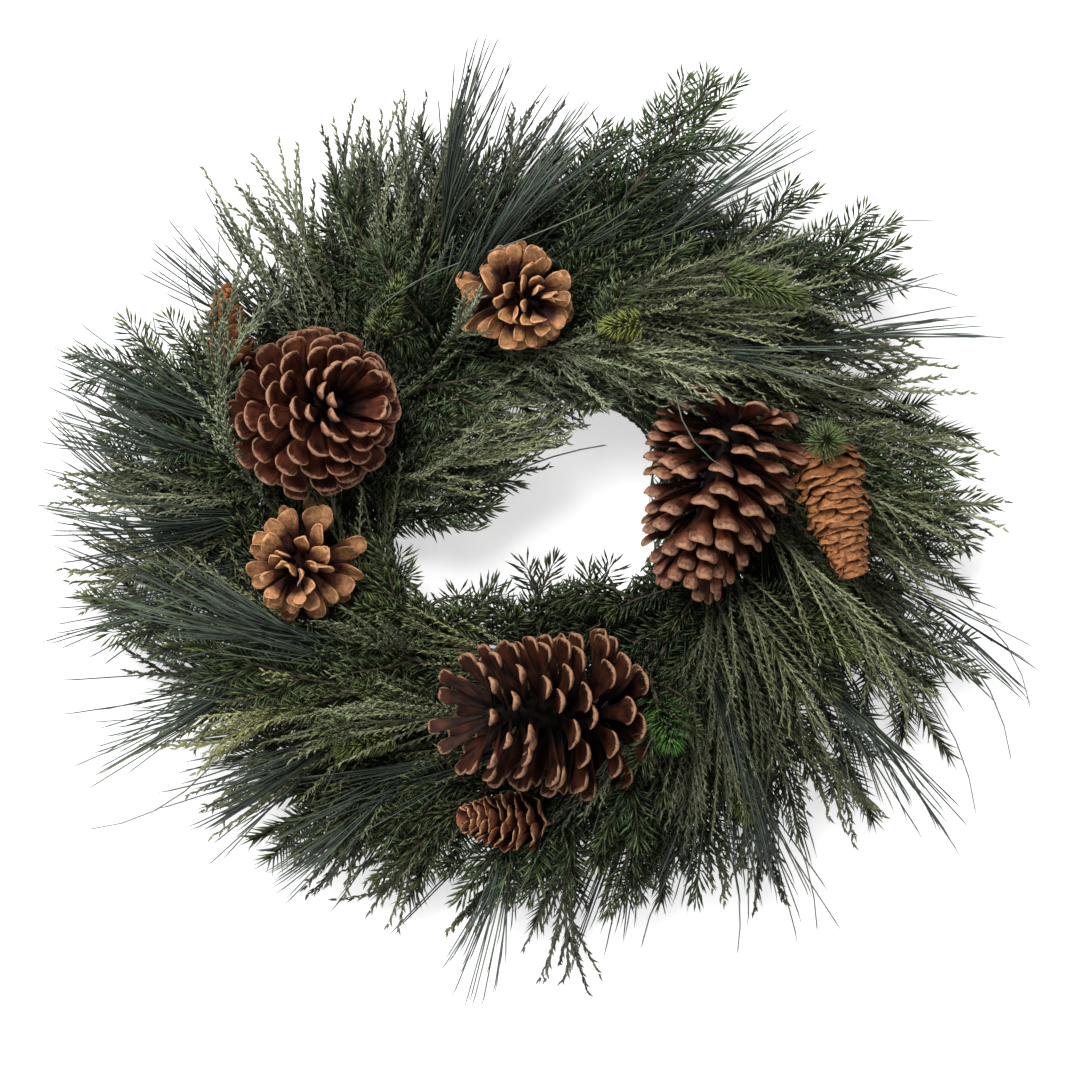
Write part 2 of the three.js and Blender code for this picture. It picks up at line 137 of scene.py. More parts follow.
tent = bpy.data.worlds.new("tent")
tent.use_nodes = True
tent.node_tree.nodes["Background"].inputs["Color"].default_value = (1, 1, 1, 1)
tent.node_tree.nodes["Background"].inputs["Strength"].default_value = TENT_LIGHT
bpy.context.scene.world = tent
bpy.context.scene.view_settings.view_transform = "Standard"
print("lamps:", len(LAMPS), "tent:", TENT_LIGHT)

# %% [markdown]
# ## Nodes in few words
# A material is a small network. These helpers add a node with its values in one line, so that
# the cells that follow can speak about bark and bloom and not about sockets.

# %% Write nodes in one line
def add(tree, kind, values=(), **settings):
    """A new node, with its settings and the values or links that go into its inputs."""
    made = tree.nodes.new(kind)
    for key, value in settings.items():
        setattr(made, key, value)
    for key, value in dict(values).items():
        if isinstance(value, bpy.types.NodeSocket):
            tree.links.new(value, made.inputs[key])
        else:
            made.inputs[key].default_value = value
    return made


def mixed(tree, share, first, second):
    """The colour between two colours."""
    return add(tree, "ShaderNodeMix", {0: share, 6: first, 7: second}, data_type="RGBA").outputs[2]


def maths(tree, kind, first, second, clamp=False):
    """One step of arithmetic."""
    return add(tree, "ShaderNodeMath", {0: first, 1: second}, operation=kind, use_clamp=clamp).outputs[0]


def step_up(tree, value, low, high):
    """0 below low, 1 above high, and a smooth rise between them."""
    values = {"Value": value, "From Min": low, "From Max": high}
    return add(tree, "ShaderNodeMapRange", values, interpolation_type="SMOOTHSTEP").outputs[0]


def mark(tree, name):
    """A number that the mesh carries at each corner."""
    return add(tree, "ShaderNodeAttribute", attribute_name=name).outputs["Fac"]


def speckle(tree, scale, detail=2.0, place=None):
    """Even noise from 0 to 1, in metres unless another place is given."""
    place = place or add(tree, "ShaderNodeTexCoord").outputs["Object"]
    return add(tree, "ShaderNodeTexNoise", {"Vector": place, "Scale": scale, "Detail": detail}).outputs[0]


def new_group(name, takes, gives):
    """An empty shader group with named inputs and outputs."""
    tree = bpy.data.node_groups.new(name, "ShaderNodeTree")
    for label, kind in takes.items():
        tree.interface.new_socket(label, in_out="INPUT", socket_type=kind)
    for label, kind in gives.items():
        tree.interface.new_socket(label, in_out="OUTPUT", socket_type=kind)
    return tree, tree.nodes.new("NodeGroupInput").outputs, tree.nodes.new("NodeGroupOutput").inputs


def new_material(name):
    """An empty material, with its network and its shader."""
    made = bpy.data.materials.new(name)
    made.use_nodes = True
    return made, made.node_tree, made.node_tree.nodes["Principled BSDF"]


COLOUR, NUMBER = "NodeSocketColor", "NodeSocketFloat"

# %% [markdown]
# ## The colour of evergreen leaves
# No two needles on a branch are the same green. Those deep inside are painted nearly black, as painted shade,
# the ones near the top of the wreath are painted clearer, and this year's growth at the tips is yellow-green.
# Preserved greens also keep a pale waxy bloom in patches. One group makes all of that from three marks on the
# mesh: tone, drawn for each leaf and lowered as painted shade deep inside the wreath and round its lower
# right, age, which is 1 on new growth, and along, from a leaf's root to its tip. Tone multiplies the light of
# tip and clump, so a deep leaf stays dark all over.

# %% Group for leaf colour
TIP_LIGHT, CLUMP_LIGHT, BASE_LIGHT = 0.34, 0.22, 0.70  # what tip, clump and the rest add to a leaf
YOUNG_GAIN, YOUNG_BASE = 1.1, 0.25  # new growth shows most on light leaves, and a little on dark ones
WAX_GAIN, WAX_DULLS, LEAF_ROUGHNESS = 1.8, 0.3, 0.44
CLUMPS, WAX_SPOTS = 16.0, 220.0  # cells of noise in a metre

leaf_tree, takes, gives = new_group(
    "leaf colour",
    {"Deep": COLOUR, "Clear": COLOUR, "Young": COLOUR, "Bloom": COLOUR, "Bloom Amount": NUMBER},
    {"Color": COLOUR, "Roughness": NUMBER},
)
clump = step_up(leaf_tree, speckle(leaf_tree, CLUMPS), 0.3, 0.7)
tip_light = maths(leaf_tree, "MULTIPLY", mark(leaf_tree, "along"), TIP_LIGHT)
clump_light = maths(leaf_tree, "MULTIPLY", clump, CLUMP_LIGHT)
strength = maths(leaf_tree, "ADD", maths(leaf_tree, "ADD", tip_light, clump_light), BASE_LIGHT)
lightness = maths(leaf_tree, "MULTIPLY", mark(leaf_tree, "tone"), strength, clamp=True)
green = mixed(leaf_tree, lightness, takes["Deep"], takes["Clear"])
young = maths(leaf_tree, "MULTIPLY", lightness, YOUNG_GAIN)
young = maths(leaf_tree, "ADD", young, YOUNG_BASE, clamp=True)
young = maths(leaf_tree, "MULTIPLY", young, mark(leaf_tree, "age"), clamp=True)
green = mixed(leaf_tree, young, green, takes["Young"])
wax = step_up(leaf_tree, speckle(leaf_tree, WAX_SPOTS, 3.0), 0.42, 0.72)
wax = maths(leaf_tree, "MULTIPLY", wax, maths(leaf_tree, "MULTIPLY", lightness, WAX_GAIN))
wax = maths(leaf_tree, "MULTIPLY", wax, takes["Bloom Amount"], clamp=True)
leaf_tree.links.new(mixed(leaf_tree, wax, green, takes["Bloom"]), gives["Color"])
dullness = maths(leaf_tree, "ADD", maths(leaf_tree, "MULTIPLY", wax, WAX_DULLS), LEAF_ROUGHNESS)
leaf_tree.links.new(dullness, gives["Roughness"])
print("leaf colour group:", len(leaf_tree.nodes), "nodes")

# %% [markdown]
# ## Three greens
# Fir is a dark true green with bright tips. Long pine needles lean to blue. Cedar scales are
# grey-green to olive, with the most bloom. Each material places the group with its own colours,
# and a fine bump keeps the leaves from looking like plastic.

# %% Materials for the leaves
LEAF_GLOSS = 0.22
LEAF_GRAIN = 1400.0
LEAF_RELIEF = {"Strength": 0.25, "Distance": 0.0003}


def leaf_finish(name, deep, clear, young, bloom, amount):
    """A material for one kind of leaf."""
    made, tree, shader = new_material(name)
    colours = dict(Deep=deep, Clear=clear, Young=young, Bloom=bloom)
    values = {label: (*colour, 1) for label, colour in colours.items()}
    tint = add(tree, "ShaderNodeGroup", {**values, "Bloom Amount": amount}, node_tree=leaf_tree)
    tree.links.new(tint.outputs["Color"], shader.inputs["Base Color"])
    tree.links.new(tint.outputs["Roughness"], shader.inputs["Roughness"])
    relief = add(tree, "ShaderNodeBump", {"Height": speckle(tree, LEAF_GRAIN), **LEAF_RELIEF})
    tree.links.new(relief.outputs[0], shader.inputs["Normal"])
    shader.inputs["Specular IOR Level"].default_value = LEAF_GLOSS
    return made


LEAVES = {  # deep, clear, young and bloom, and how much bloom
    "fir needles": (
        (0.003, 0.006, 0.002), (0.074, 0.118, 0.046), (0.190, 0.205, 0.036), (0.150, 0.180, 0.125), 0.15
    ),
    "bright fir needles": (
        (0.003, 0.014, 0.002), (0.052, 0.150, 0.024), (0.120, 0.210, 0.030), (0.110, 0.180, 0.070), 0.10
    ),
    "pine needles": (
        (0.003, 0.006, 0.005), (0.076, 0.104, 0.082), (0.160, 0.175, 0.085), (0.200, 0.225, 0.190), 0.18
    ),
    "cedar scales": (
        (0.004, 0.006, 0.003), (0.185, 0.215, 0.126), (0.280, 0.275, 0.100), (0.290, 0.315, 0.235), 0.35
    ),
}
FIR_GREEN, FIR_BRIGHT, PINE_BLUE, CEDAR_GREY = (leaf_finish(name, *row) for name, row in LEAVES.items())
print("leaf materials:", FIR_GREEN.name, FIR_BRIGHT.name, PINE_BLUE.name, CEDAR_GREY.name)

# %% [markdown]
# ## Bark
# Twigs, vines and the fibres of a cone scale all have the same long grain: dark grooves that run
# the length of the wood. The group stretches noise along a mark called along and packs it close
# across, so the grain follows every bend of the piece.

# %% Group for long grain
TONE_JUMP = 40.0  # how far apart in the noise two pieces of different tone read it
BLOTCHES = 90.0
FLECK = (0.72, 1.3)  # where the paler wood begins, and where it is full

grain_tree, takes, gives = new_group(
    "long grain",
    {"Dark": COLOUR, "Light": COLOUR, "Along": NUMBER, "Across": NUMBER},
    {"Color": COLOUR, "Height": NUMBER},
)
grain_place = add(
    grain_tree, "ShaderNodeCombineXYZ",
    {
        0: maths(grain_tree, "MULTIPLY", mark(grain_tree, "along"), takes["Along"]),
        1: maths(grain_tree, "MULTIPLY", mark(grain_tree, "across"), takes["Across"]),
        2: maths(grain_tree, "MULTIPLY", mark(grain_tree, "tone"), TONE_JUMP),
    },
).outputs[0]
fibres = speckle(grain_tree, 1.0, 4.0, grain_place)
fleck = step_up(grain_tree, maths(grain_tree, "ADD", fibres, speckle(grain_tree, BLOTCHES)), *FLECK)
grain_tree.links.new(mixed(grain_tree, fleck, takes["Dark"], takes["Light"]), gives["Color"])
grain_tree.links.new(fibres, gives["Height"])
print("long grain group:", len(grain_tree.nodes), "nodes")

# %% [markdown]
# ## Three barks
# A vine has deep grooves and pale ridges. The twigs of fir and cedar are smooth beside it, and
# far too thin for more than a hint of grain. Cedar wood is the greener of the two, and pine twigs
# share the fir's bark.

# %% Materials for bark
BARK_ROUGHNESS = 0.8


def bark_finish(name, dark, light, along, across, relief):
    """A material for wood with a long grain. along and across say how close the grain is."""
    made, tree, shader = new_material(name)
    values = {"Dark": (*dark, 1), "Light": (*light, 1), "Along": along, "Across": across}
    grain = add(tree, "ShaderNodeGroup", values, node_tree=grain_tree)
    tree.links.new(grain.outputs["Color"], shader.inputs["Base Color"])
    bump = add(tree, "ShaderNodeBump", {"Height": grain.outputs["Height"], "Distance": relief})
    tree.links.new(bump.outputs[0], shader.inputs["Normal"])
    shader.inputs["Roughness"].default_value = BARK_ROUGHNESS
    return made


VINE_BARK = bark_finish("vine bark", (0.030, 0.016, 0.009), (0.19, 0.115, 0.065), 150.0, 9.0, 0.0012)
FIR_BARK = bark_finish("fir bark", (0.016, 0.012, 0.006), (0.060, 0.044, 0.022), 12.0, 5.0, 0.0004)
CEDAR_BARK = bark_finish("cedar bark", (0.020, 0.020, 0.009), (0.085, 0.078, 0.036), 12.0, 5.0, 0.0004)
print("barks:", VINE_BARK.name, FIR_BARK.name, CEDAR_BARK.name)

# %% [markdown]
# ## Shoots: one form for all that grows
# A stem, a twig, a needle and a scale leaf differ in size, not in kind. Each starts on its
# parent, runs off at an angle, bends a little and ends in a point. So one record, a shoot, can
# stand for any of them: a start, a run and a bend, which together make a curve. Whole rows of
# shoots are kept in arrays, because numbers worked out together are a thousand times quicker
# than one by one.

# %% Describe shoots
Shoots = namedtuple("Shoots", "start run bend age tone")


def unit(vectors):
    """The same directions, each of length 1."""
    return vectors / np.maximum(np.linalg.norm(vectors, axis=-1, keepdims=True), 1e-12)


def point_on(shoots, which, share):
    """Points part of the way along the chosen shoots."""
    share = share[:, None]
    return shoots.start[which] + shoots.run[which] * share + shoots.bend[which] * share**2


def points_at(shoots, share):
    """The points at the same share of the way along every shoot."""
    everyone = np.arange(len(shoots.start))
    return point_on(shoots, everyone, np.full(len(everyone), share))


def way_on(shoots, which, share):
    """The way in which the chosen shoots grow at those points."""
    return unit(shoots.run[which] + 2 * shoots.bend[which] * share[:, None])


def picked(shoots, keep):
    """Only some of the shoots."""
    return Shoots(*(values[keep] for values in shoots))


def together(*several):
    """Several rows of shoots as one."""
    return Shoots(*(np.concatenate(values) for values in zip(*several)))


def stations(shoots, spacing, span=(0.0, 1.0)):
    """Evenly spaced places along every shoot: which shoot, how far along, and its number there."""
    reach = np.linalg.norm(shoots.run + shoots.bend, axis=1) * (span[1] - span[0])
    counts = np.maximum(1, np.round(reach / spacing).astype(int))
    which = np.repeat(np.arange(len(counts)), counts)
    order = np.arange(len(which)) - np.repeat(np.cumsum(counts) - counts, counts)
    share = span[0] + (order + 0.5) / counts[which] * (span[1] - span[0])
    return which, share, order


def grown(parents, places, face, angle, roll, length, curl, age, tone):
    """New shoots that leave their parents at an angle, rolled round them, and curl forward."""
    which, share = places
    forward = way_on(parents, which, share)
    side = unit(np.cross(face, forward))
    above = np.cross(forward, side)
    roll, angle, length = (np.broadcast_to(v, len(which))[:, None] for v in (roll, angle, length))
    outward = side * np.cos(roll) + above * np.sin(roll)
    heading = forward * np.cos(angle) + outward * np.sin(angle)
    run = heading * length * (1 - curl)
    age, tone = (np.broadcast_to(v, len(which)).astype(float) for v in (age, tone))
    return Shoots(point_on(parents, which, share), run, forward * length * curl, age, tone)


# %% [markdown]
# ## The way round
# Foliage that lies on a ring doesn't stay straight. It is pushed in at a slant, settles under its
# own weight and is smoothed down the same way round, so twigs and long needles curve the way the
# whole wreath turns. That costs one more bend on a shoot.

# %% Sweep shoots round the ring
def swept(shoots, share):
    """The same shoots, their tips carried clockwise by a share of their length."""
    outward = shoots.start - MIDDLE
    onward = unit(np.stack([outward[:, 1], -outward[:, 0], 0 * outward[:, 0]], 1))
    length = np.linalg.norm(shoots.run, axis=1, keepdims=True)
    return shoots._replace(bend=shoots.bend + onward * length * share)


# %% [markdown]
# ## From shoots to solids
# Every shoot becomes a closed body: a root, one or more rings of corners, and a tip. A needle
# needs one ring of three corners, a twig a few rings of four to six, and the smallest leaves are
# plain spikes with no ring at all. The corners carry the marks that the materials read.

# %% Build solids from shoots
def spokes(shoots, sides, flat=1.0):
    """The directions from the middle of a shoot to the corners of its rings."""
    forward = unit(shoots.run)
    side = unit(np.cross(UP, forward) + 1e-9)
    above = np.cross(forward, side)
    turns = np.radians(90) + np.arange(sides) * 2 * np.pi / sides
    return side[:, None] * np.cos(turns)[:, None] + above[:, None] * np.sin(turns)[:, None] * flat


def loft(rows, sides):
    """The faces of one closed body: a root corner, rows of corners round it, and a tip corner."""
    ring = np.arange(sides)
    after = (ring + 1) % sides
    faces = [np.stack([0 * ring, 1 + after, 1 + ring], 1)]
    for row in range(rows - 1):
        low, high = 1 + row * sides, 1 + (row + 1) * sides
        faces.append(np.stack([low + ring, low + after, high + after], 1))
        faces.append(np.stack([low + ring, high + after, high + ring], 1))
    last = 1 + (rows - 1) * sides
    faces.append(np.stack([last + ring, last + after, 0 * ring + last + sides], 1))
    return np.concatenate(faces)


def lot_of(shoots, corners, pattern, along, across, paint=0):
    """The bodies of a row of shoots as one lot: their corners and faces, with the marks."""
    count, each = corners.shape[:2]
    faces = (np.arange(count) * each)[:, None, None] + pattern
    return {
        "corners": corners.reshape(-1, 3),
        "faces": faces.reshape(-1, 3),
        "paint": np.full(count * len(pattern), paint),
        "along": np.tile(along, count),
        "across": np.tile(across, count),
        "age": np.repeat(shoots.age, each),
        "tone": np.repeat(shoots.tone, each),
    }


def solids(shoots, width, rings, sides=3, flat=1.0, paint=0):
    """Closed bodies along the shoots. rings gives (share of the way, share of the width)."""
    ways = spokes(shoots, sides, flat) * width / 2
    corners = [points_at(shoots, 0.0)[:, None]]
    corners += [points_at(shoots, share)[:, None] + ways * wide for share, wide in rings]
    corners.append(points_at(shoots, 1.0)[:, None])
    along = [0.0, *np.repeat([share for share, _ in rings], sides), 1.0]
    across = [0.5, *np.tile(np.abs(2 * np.arange(sides) / sides - 1), len(rings)), 0.5]
    return lot_of(shoots, np.concatenate(corners, axis=1), loft(len(rings), sides), along, across, paint)


def spikes(shoots, width):
    """The plainest closed leaves: a three-cornered root and a tip, for the very small ones."""
    root = shoots.start[:, None] + spokes(shoots, 3) * width / 2
    corners = np.concatenate([root, points_at(shoots, 1.0)[:, None]], axis=1)
    pattern = np.array([(0, 2, 1), (0, 1, 3), (1, 2, 3), (2, 0, 3)])
    return lot_of(shoots, corners, pattern, (0.0, 0.0, 0.0, 1.0), (0.0, 0.5, 1.0, 0.5))


def fused(parts):
    """Several lots of solids as one lot."""
    starts = np.cumsum([0] + [len(part["corners"]) for part in parts[:-1]])
    whole = {key: np.concatenate([part[key] for part in parts]) for key in parts[0] if key != "faces"}
    whole["faces"] = np.concatenate([part["faces"] + start for part, start in zip(parts, starts)])
    return whole


# %% [markdown]
# ## From solids to pieces
# A piece is one mesh with all the solids of a spray, a cone or the vines. What would sink into
# the floor is pressed up against it, as real needles are when a wreath is laid down.

# %% Make pieces
FLOOR_FEEL = 4 * MM  # height below which the floor starts to press needles up
MARKS = ("along", "across", "age", "tone", "under")
triangles = {}


def above_floor(corners):
    """The same corners, with low ones pressed up so that none is under the floor."""
    sunk = np.minimum(corners[..., 2] - FLOOR_FEEL, 0)
    corners[..., 2] += FLOOR_FEEL * np.exp(sunk / FLOOR_FEEL) - FLOOR_FEEL - sunk
    return corners


def make_piece(name, lot, materials, stands_for=()):
    """One object from a lot of solids, riding on the wreath's body."""
    mesh = bpy.data.meshes.new(name)
    mesh.from_pydata(above_floor(lot["corners"]), [], lot["faces"])
    for key in [key for key in MARKS if key in lot]:
        mesh.attributes.new(key, "FLOAT", "POINT").data.foreach_set("value", lot[key].astype(np.float32))
    for material in materials:
        mesh.materials.append(material)
    mesh.polygons.foreach_set("material_index", lot["paint"].astype(np.int32))
    mesh.polygons.foreach_set("use_smooth", np.ones(len(lot["faces"]), bool))
    made = bpy.data.objects.new(name, mesh)
    bpy.context.scene.collection.objects.link(made)
    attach(made, "root")
    if stands_for:
        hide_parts(*stands_for)
    triangles[name] = len(lot["faces"])


# %% [markdown]
# ## The cones' places
# The cones go in first here, because all the growth has to keep out of them. Three are fat pine
# cones, two are small ones that stand wide open, and three are spruce cones. Each row repeats the
# CAD cone: its length, its radius, where its middle is and which way its tip points. Two tips are
# turned a little from the CAD's: cone B leans further over, and cone D stands up more.

# %% List the cones
ConePlan = namedtuple("ConePlan", "kind length radius scales middle tip shade")
CONES = {
    "cone_a": ConePlan("pine", 88, 52, 96, (-118, 64), (0.48, 0.12, 1), "umber"),
    "cone_b": ConePlan("open", 58, 34, 55, (-2, 129), (0.60, -0.26, 1), "tan"),
    "cone_c": ConePlan("open", 56, 35, 55, (-136, -29), (-0.3, -0.42, 1), "tan"),
    "cone_d": ConePlan("crown", 126, 50, 94, (-1, -118), (-1, 0.04, 0.62), "dusk"),
    "cone_e": ConePlan("stout", 56, 18, 54, (-18, -182), (-1, 0.08, 0.4), "russet"),
    "cone_f": ConePlan("pine", 124, 50, 108, (109, 7), (-0.3, -1, -0.1), "umber"),
    "cone_g": ConePlan("spruce", 86, 26, 96, (184, -3), (0.24, -1, 0.1), "honey"),
    "cone_h": ConePlan("spruce", 52, 17, 48, (-176, 114), (-0.1, 1, 0.05), "honey"),
}


def cone_middle(name):
    """The middle of a cone, as high as its CAD solid lies."""
    low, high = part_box(name)
    return spot(*CONES[name].middle) * (1, 1, 0) + UP * (low[2] + high[2]) / 2


CONE_MIDDLES = {name: cone_middle(name) for name in CONES}
for name, middle in CONE_MIDDLES.items():
    print(name, "middle at", np.round(middle / MM), "mm")

# %% [markdown]
# ## Room for the cones and for the hole
# A needle that runs into a cone would look wrong from every side, and one that hangs over it
# would hide the best part of the wreath. So a shoot is dropped where it enters the egg round a
# cone or the column of air over it, unless it belongs to a spray that is meant to hang there. The
# hole in the middle of the wreath is kept open by its outline, a few points round the gap that
# the sprays leave.

# %% Test shoots for room
HOLE = [
    (-80, -14), (-52, -18), (-22, -10), (0, 10), (18, 30), (34, 46), (42, 58), (58, 60), (74, 46),
    (76, -24), (54, -44), (28, -32), (12, -46), (-26, -44), (-50, -50), (-72, -38),
]
EDGE_ROOM = 6 * MM  # how far a tip may reach past the CAD box
TESTS = (0.3, 0.55, 0.8, 1.0)  # where along a shoot its room is tested


def in_hole(points):
    """Whether points are over the wreath's hole."""
    x, y = (points[:, :2] - MIDDLE[:2]).T / MM
    inside = np.zeros(len(points), bool)
    for (x0, y0), (x1, y1) in zip(HOLE, HOLE[1:] + HOLE[:1]):
        crosses = (y0 > y) != (y1 > y)
        inside ^= crosses & (x < x0 + (x1 - x0) * (y - y0) / (y1 - y0 + 1e-12))
    return inside


def in_cone(points, above_too):
    """Whether points are in a cone or, if asked, above one."""
    inside = np.zeros(len(points), bool)
    for name, plan in CONES.items():
        tip = unit(np.array(plan.tip, float))
        away = points - CONE_MIDDLES[name]
        if above_too:
            away[:, 2] = np.minimum(away[:, 2], 0)
        lengthwise = away @ tip
        off = np.linalg.norm(away - lengthwise[:, None] * tip, axis=1)
        inside |= (off / (plan.radius * MM)) ** 2 + (lengthwise / (plan.length / 2 * MM)) ** 2 < 1.0
    return inside


def has_room(shoots, over=""):
    """The shoots that stay in the wreath's box and clear of cones and hole. over names the one
    of these two, "cones" or "hole", that they may hang over."""
    free = np.ones(len(shoots.start), bool)
    low, high = (np.array(corner) for corner in cad_box)
    for share in TESTS:
        points = points_at(shoots, share)
        free &= ~in_cone(points, over != "cones")
        if over != "hole":
            free &= ~in_hole(points)
        # what is below the floor is pressed up later, so there is no lower limit to the height
        free &= (points > low - EDGE_ROOM - UP).all(1) & (points < high + EDGE_ROOM).all(1)
    return picked(shoots, free)


# %% [markdown]
# ## A spray of fir
# Fir branches in one plane, like a hand held flat. Short twigs leave the stem left and right by
# turns, and every twig is a comb: needles stand off to both sides and a third row leans forward
# over the top. Needles near a tip are shorter, closer to the twig and often this year's.

# %% Grow fir
TWIG = ((0.02, 1.0), (0.4, 0.85), (0.8, 0.6))
STEM = tuple((share, 1.0 - 0.5 * share) for share in (0.01, 0.15, 0.3, 0.45, 0.6, 0.75, 0.9))
FIR_NEEDLE = ((0.66, 1.0),)
FIR_NEEDLE_LENGTH = 17.5
FIR_NEEDLES_EVERY = 2.2
FIR_TWIGS_EVERY = 15.0
FIR_SWEEP = 0.10


def fir_needles(draw, wood, face, fresh, over):
    """The combs of needles on fir wood: two rows to the sides and one over the top."""
    which, share, _ = stations(wood, FIR_NEEDLES_EVERY * MM, (0.06, 1.0))
    rows = np.tile([0.0, np.pi, np.pi / 2], len(which))
    which, share = np.repeat(which, 3), np.repeat(share, 3)
    many = len(which)
    tip = np.clip((share - 0.8) / 0.2, 0, 1)
    # a needle stands off by about 60 degrees, and by less near a tip and in the top row
    angle = 1.04 - 0.5 * tip - 0.14 * np.sin(rows) + draw.normal(0, 0.10, many)
    roll = rows + draw.normal(0, 0.4, many)
    reach = FIR_NEEDLE_LENGTH * (1 - 0.25 * tip) * MM * draw.uniform(0.78, 1.08, many)
    age = np.clip(fresh + 0.35 * tip * draw.uniform(0, 1, many) + wood.age[which] * 0.2, 0, 1)
    tone = draw.beta(1.6, 2.0, many)
    needles = grown(wood, (which, share), face, angle, roll, reach, 0.14, age, tone)
    return has_room(needles, over)


def fir_spray(draw, stem, face, fresh, twig_length=58.0, plain=False, over=""):
    """The solids of one fir spray. A plain one has the simplest needles, for the lowest layers."""
    which, share, order = stations(stem, FIR_TWIGS_EVERY * MM, (0.10, 0.84))
    many = len(which)
    length = twig_length * MM * (1.1 - 0.65 * share) * draw.uniform(0.75, 1.1, many)
    hand = np.where(order % 2, 0, np.pi) + draw.normal(0, 0.2, many)
    angle = draw.uniform(0.62, 0.88, many)
    twigs = grown(stem, (which, share), face, angle, hand, length, 0.16, fresh, draw.uniform(0, 1, many))
    twigs = has_room(swept(twigs, FIR_SWEEP), over)
    needles = fir_needles(draw, together(stem, twigs), face, fresh, over)
    return fused([
        solids(stem, 3.8 * MM, STEM, sides=6, paint=1),
        solids(twigs, 1.9 * MM, TWIG, sides=4, paint=1),
        spikes(needles, 1.9 * MM) if plain else solids(needles, 1.6 * MM, FIR_NEEDLE, flat=0.7),
    ])


# %% [markdown]
# ## A tuft of pine
# This pine carries its needles in threes, each as long as a hand. They sit along most of the twig
# and sweep forward past its end like the hairs of a broom. Each has a slight bend of its own, a
# few bundles stray far from the rest, and most needles sag a little, so the tuft never looks
# combed.

# %% Grow pine
PINE_NEEDLE = ((0.03, 0.8), (0.45, 1.0), (0.93, 0.8))
PINE_LENGTHS = (58, 132)
IN_A_BUNDLE = 3
PINE_SWEEP = 0.17


def pine_spray(draw, stem, face, fresh, bundles, over=""):
    """The solids of one pine tuft."""
    share = np.linspace(0.2, 1.0, bundles)
    which = np.zeros(bundles, int)
    astray = draw.uniform(0, 1, bundles) > 0.84
    widest = np.where(astray, 36.0, 20 - 10 * share)
    splay = np.radians(widest) * draw.uniform(0.05, 1.0, bundles)
    turn = draw.uniform(0, 2 * np.pi, bundles)
    turn = np.arctan2(0.6 * np.sin(turn), np.cos(turn))
    which, share, splay, turn = (np.repeat(v, IN_A_BUNDLE) for v in (which, share, splay, turn))
    many = len(which)
    splay = splay + draw.normal(0, 0.04, many)
    turn = turn + draw.normal(0, 0.3, many)
    wood = np.linalg.norm(stem.run + stem.bend) / MM
    longest = OVERHANG[P] + 6 + wood * (1 - share)
    reach = np.minimum(draw.uniform(*PINE_LENGTHS, many), longest) * MM
    tone = draw.beta(1.1, 1.9, many)
    age = fresh * 0.5 + (draw.uniform(0, 1, many) > 0.93) * 0.5
    needles = grown(stem, (which, share), face, splay, turn, reach, 0.04, age, tone)
    needles = swept(needles, PINE_SWEEP)
    sag = draw.normal(0, 8.0, (many, 3)) * MM - UP * 4 * MM
    needles = has_room(needles._replace(bend=needles.bend + sag), over)
    return fused([
        solids(stem, 4.0 * MM, STEM, sides=6, paint=1),
        solids(needles, 1.1 * MM, PINE_NEEDLE, flat=0.75),
    ])


# %% [markdown]
# ## A plume of cedar
# Cedar and juniper have no needles. Their plumes divide twice in one plane, at a narrow angle,
# and the finest threads are wrapped in tiny pointed scales. That is what gives the plume its
# rough, feathery edge, so the threads here carry real scales, a few millimetres long.

# %% Grow cedar
THREAD = ((0.03, 1.0), (0.5, 0.85))
CEDAR_BRANCHES_EVERY = 6.2
CEDAR_SCALES = (4.0, 1.65)  # how far apart and how wide, in millimetres
PLAIN_CEDAR_SCALES = (6.4, 2.4)
CEDAR_SWEEP = 0.14
SCALE_LEAN = 0.38
SPIRAL = 2.4  # turn from one leaf to the next, in radians: the golden angle


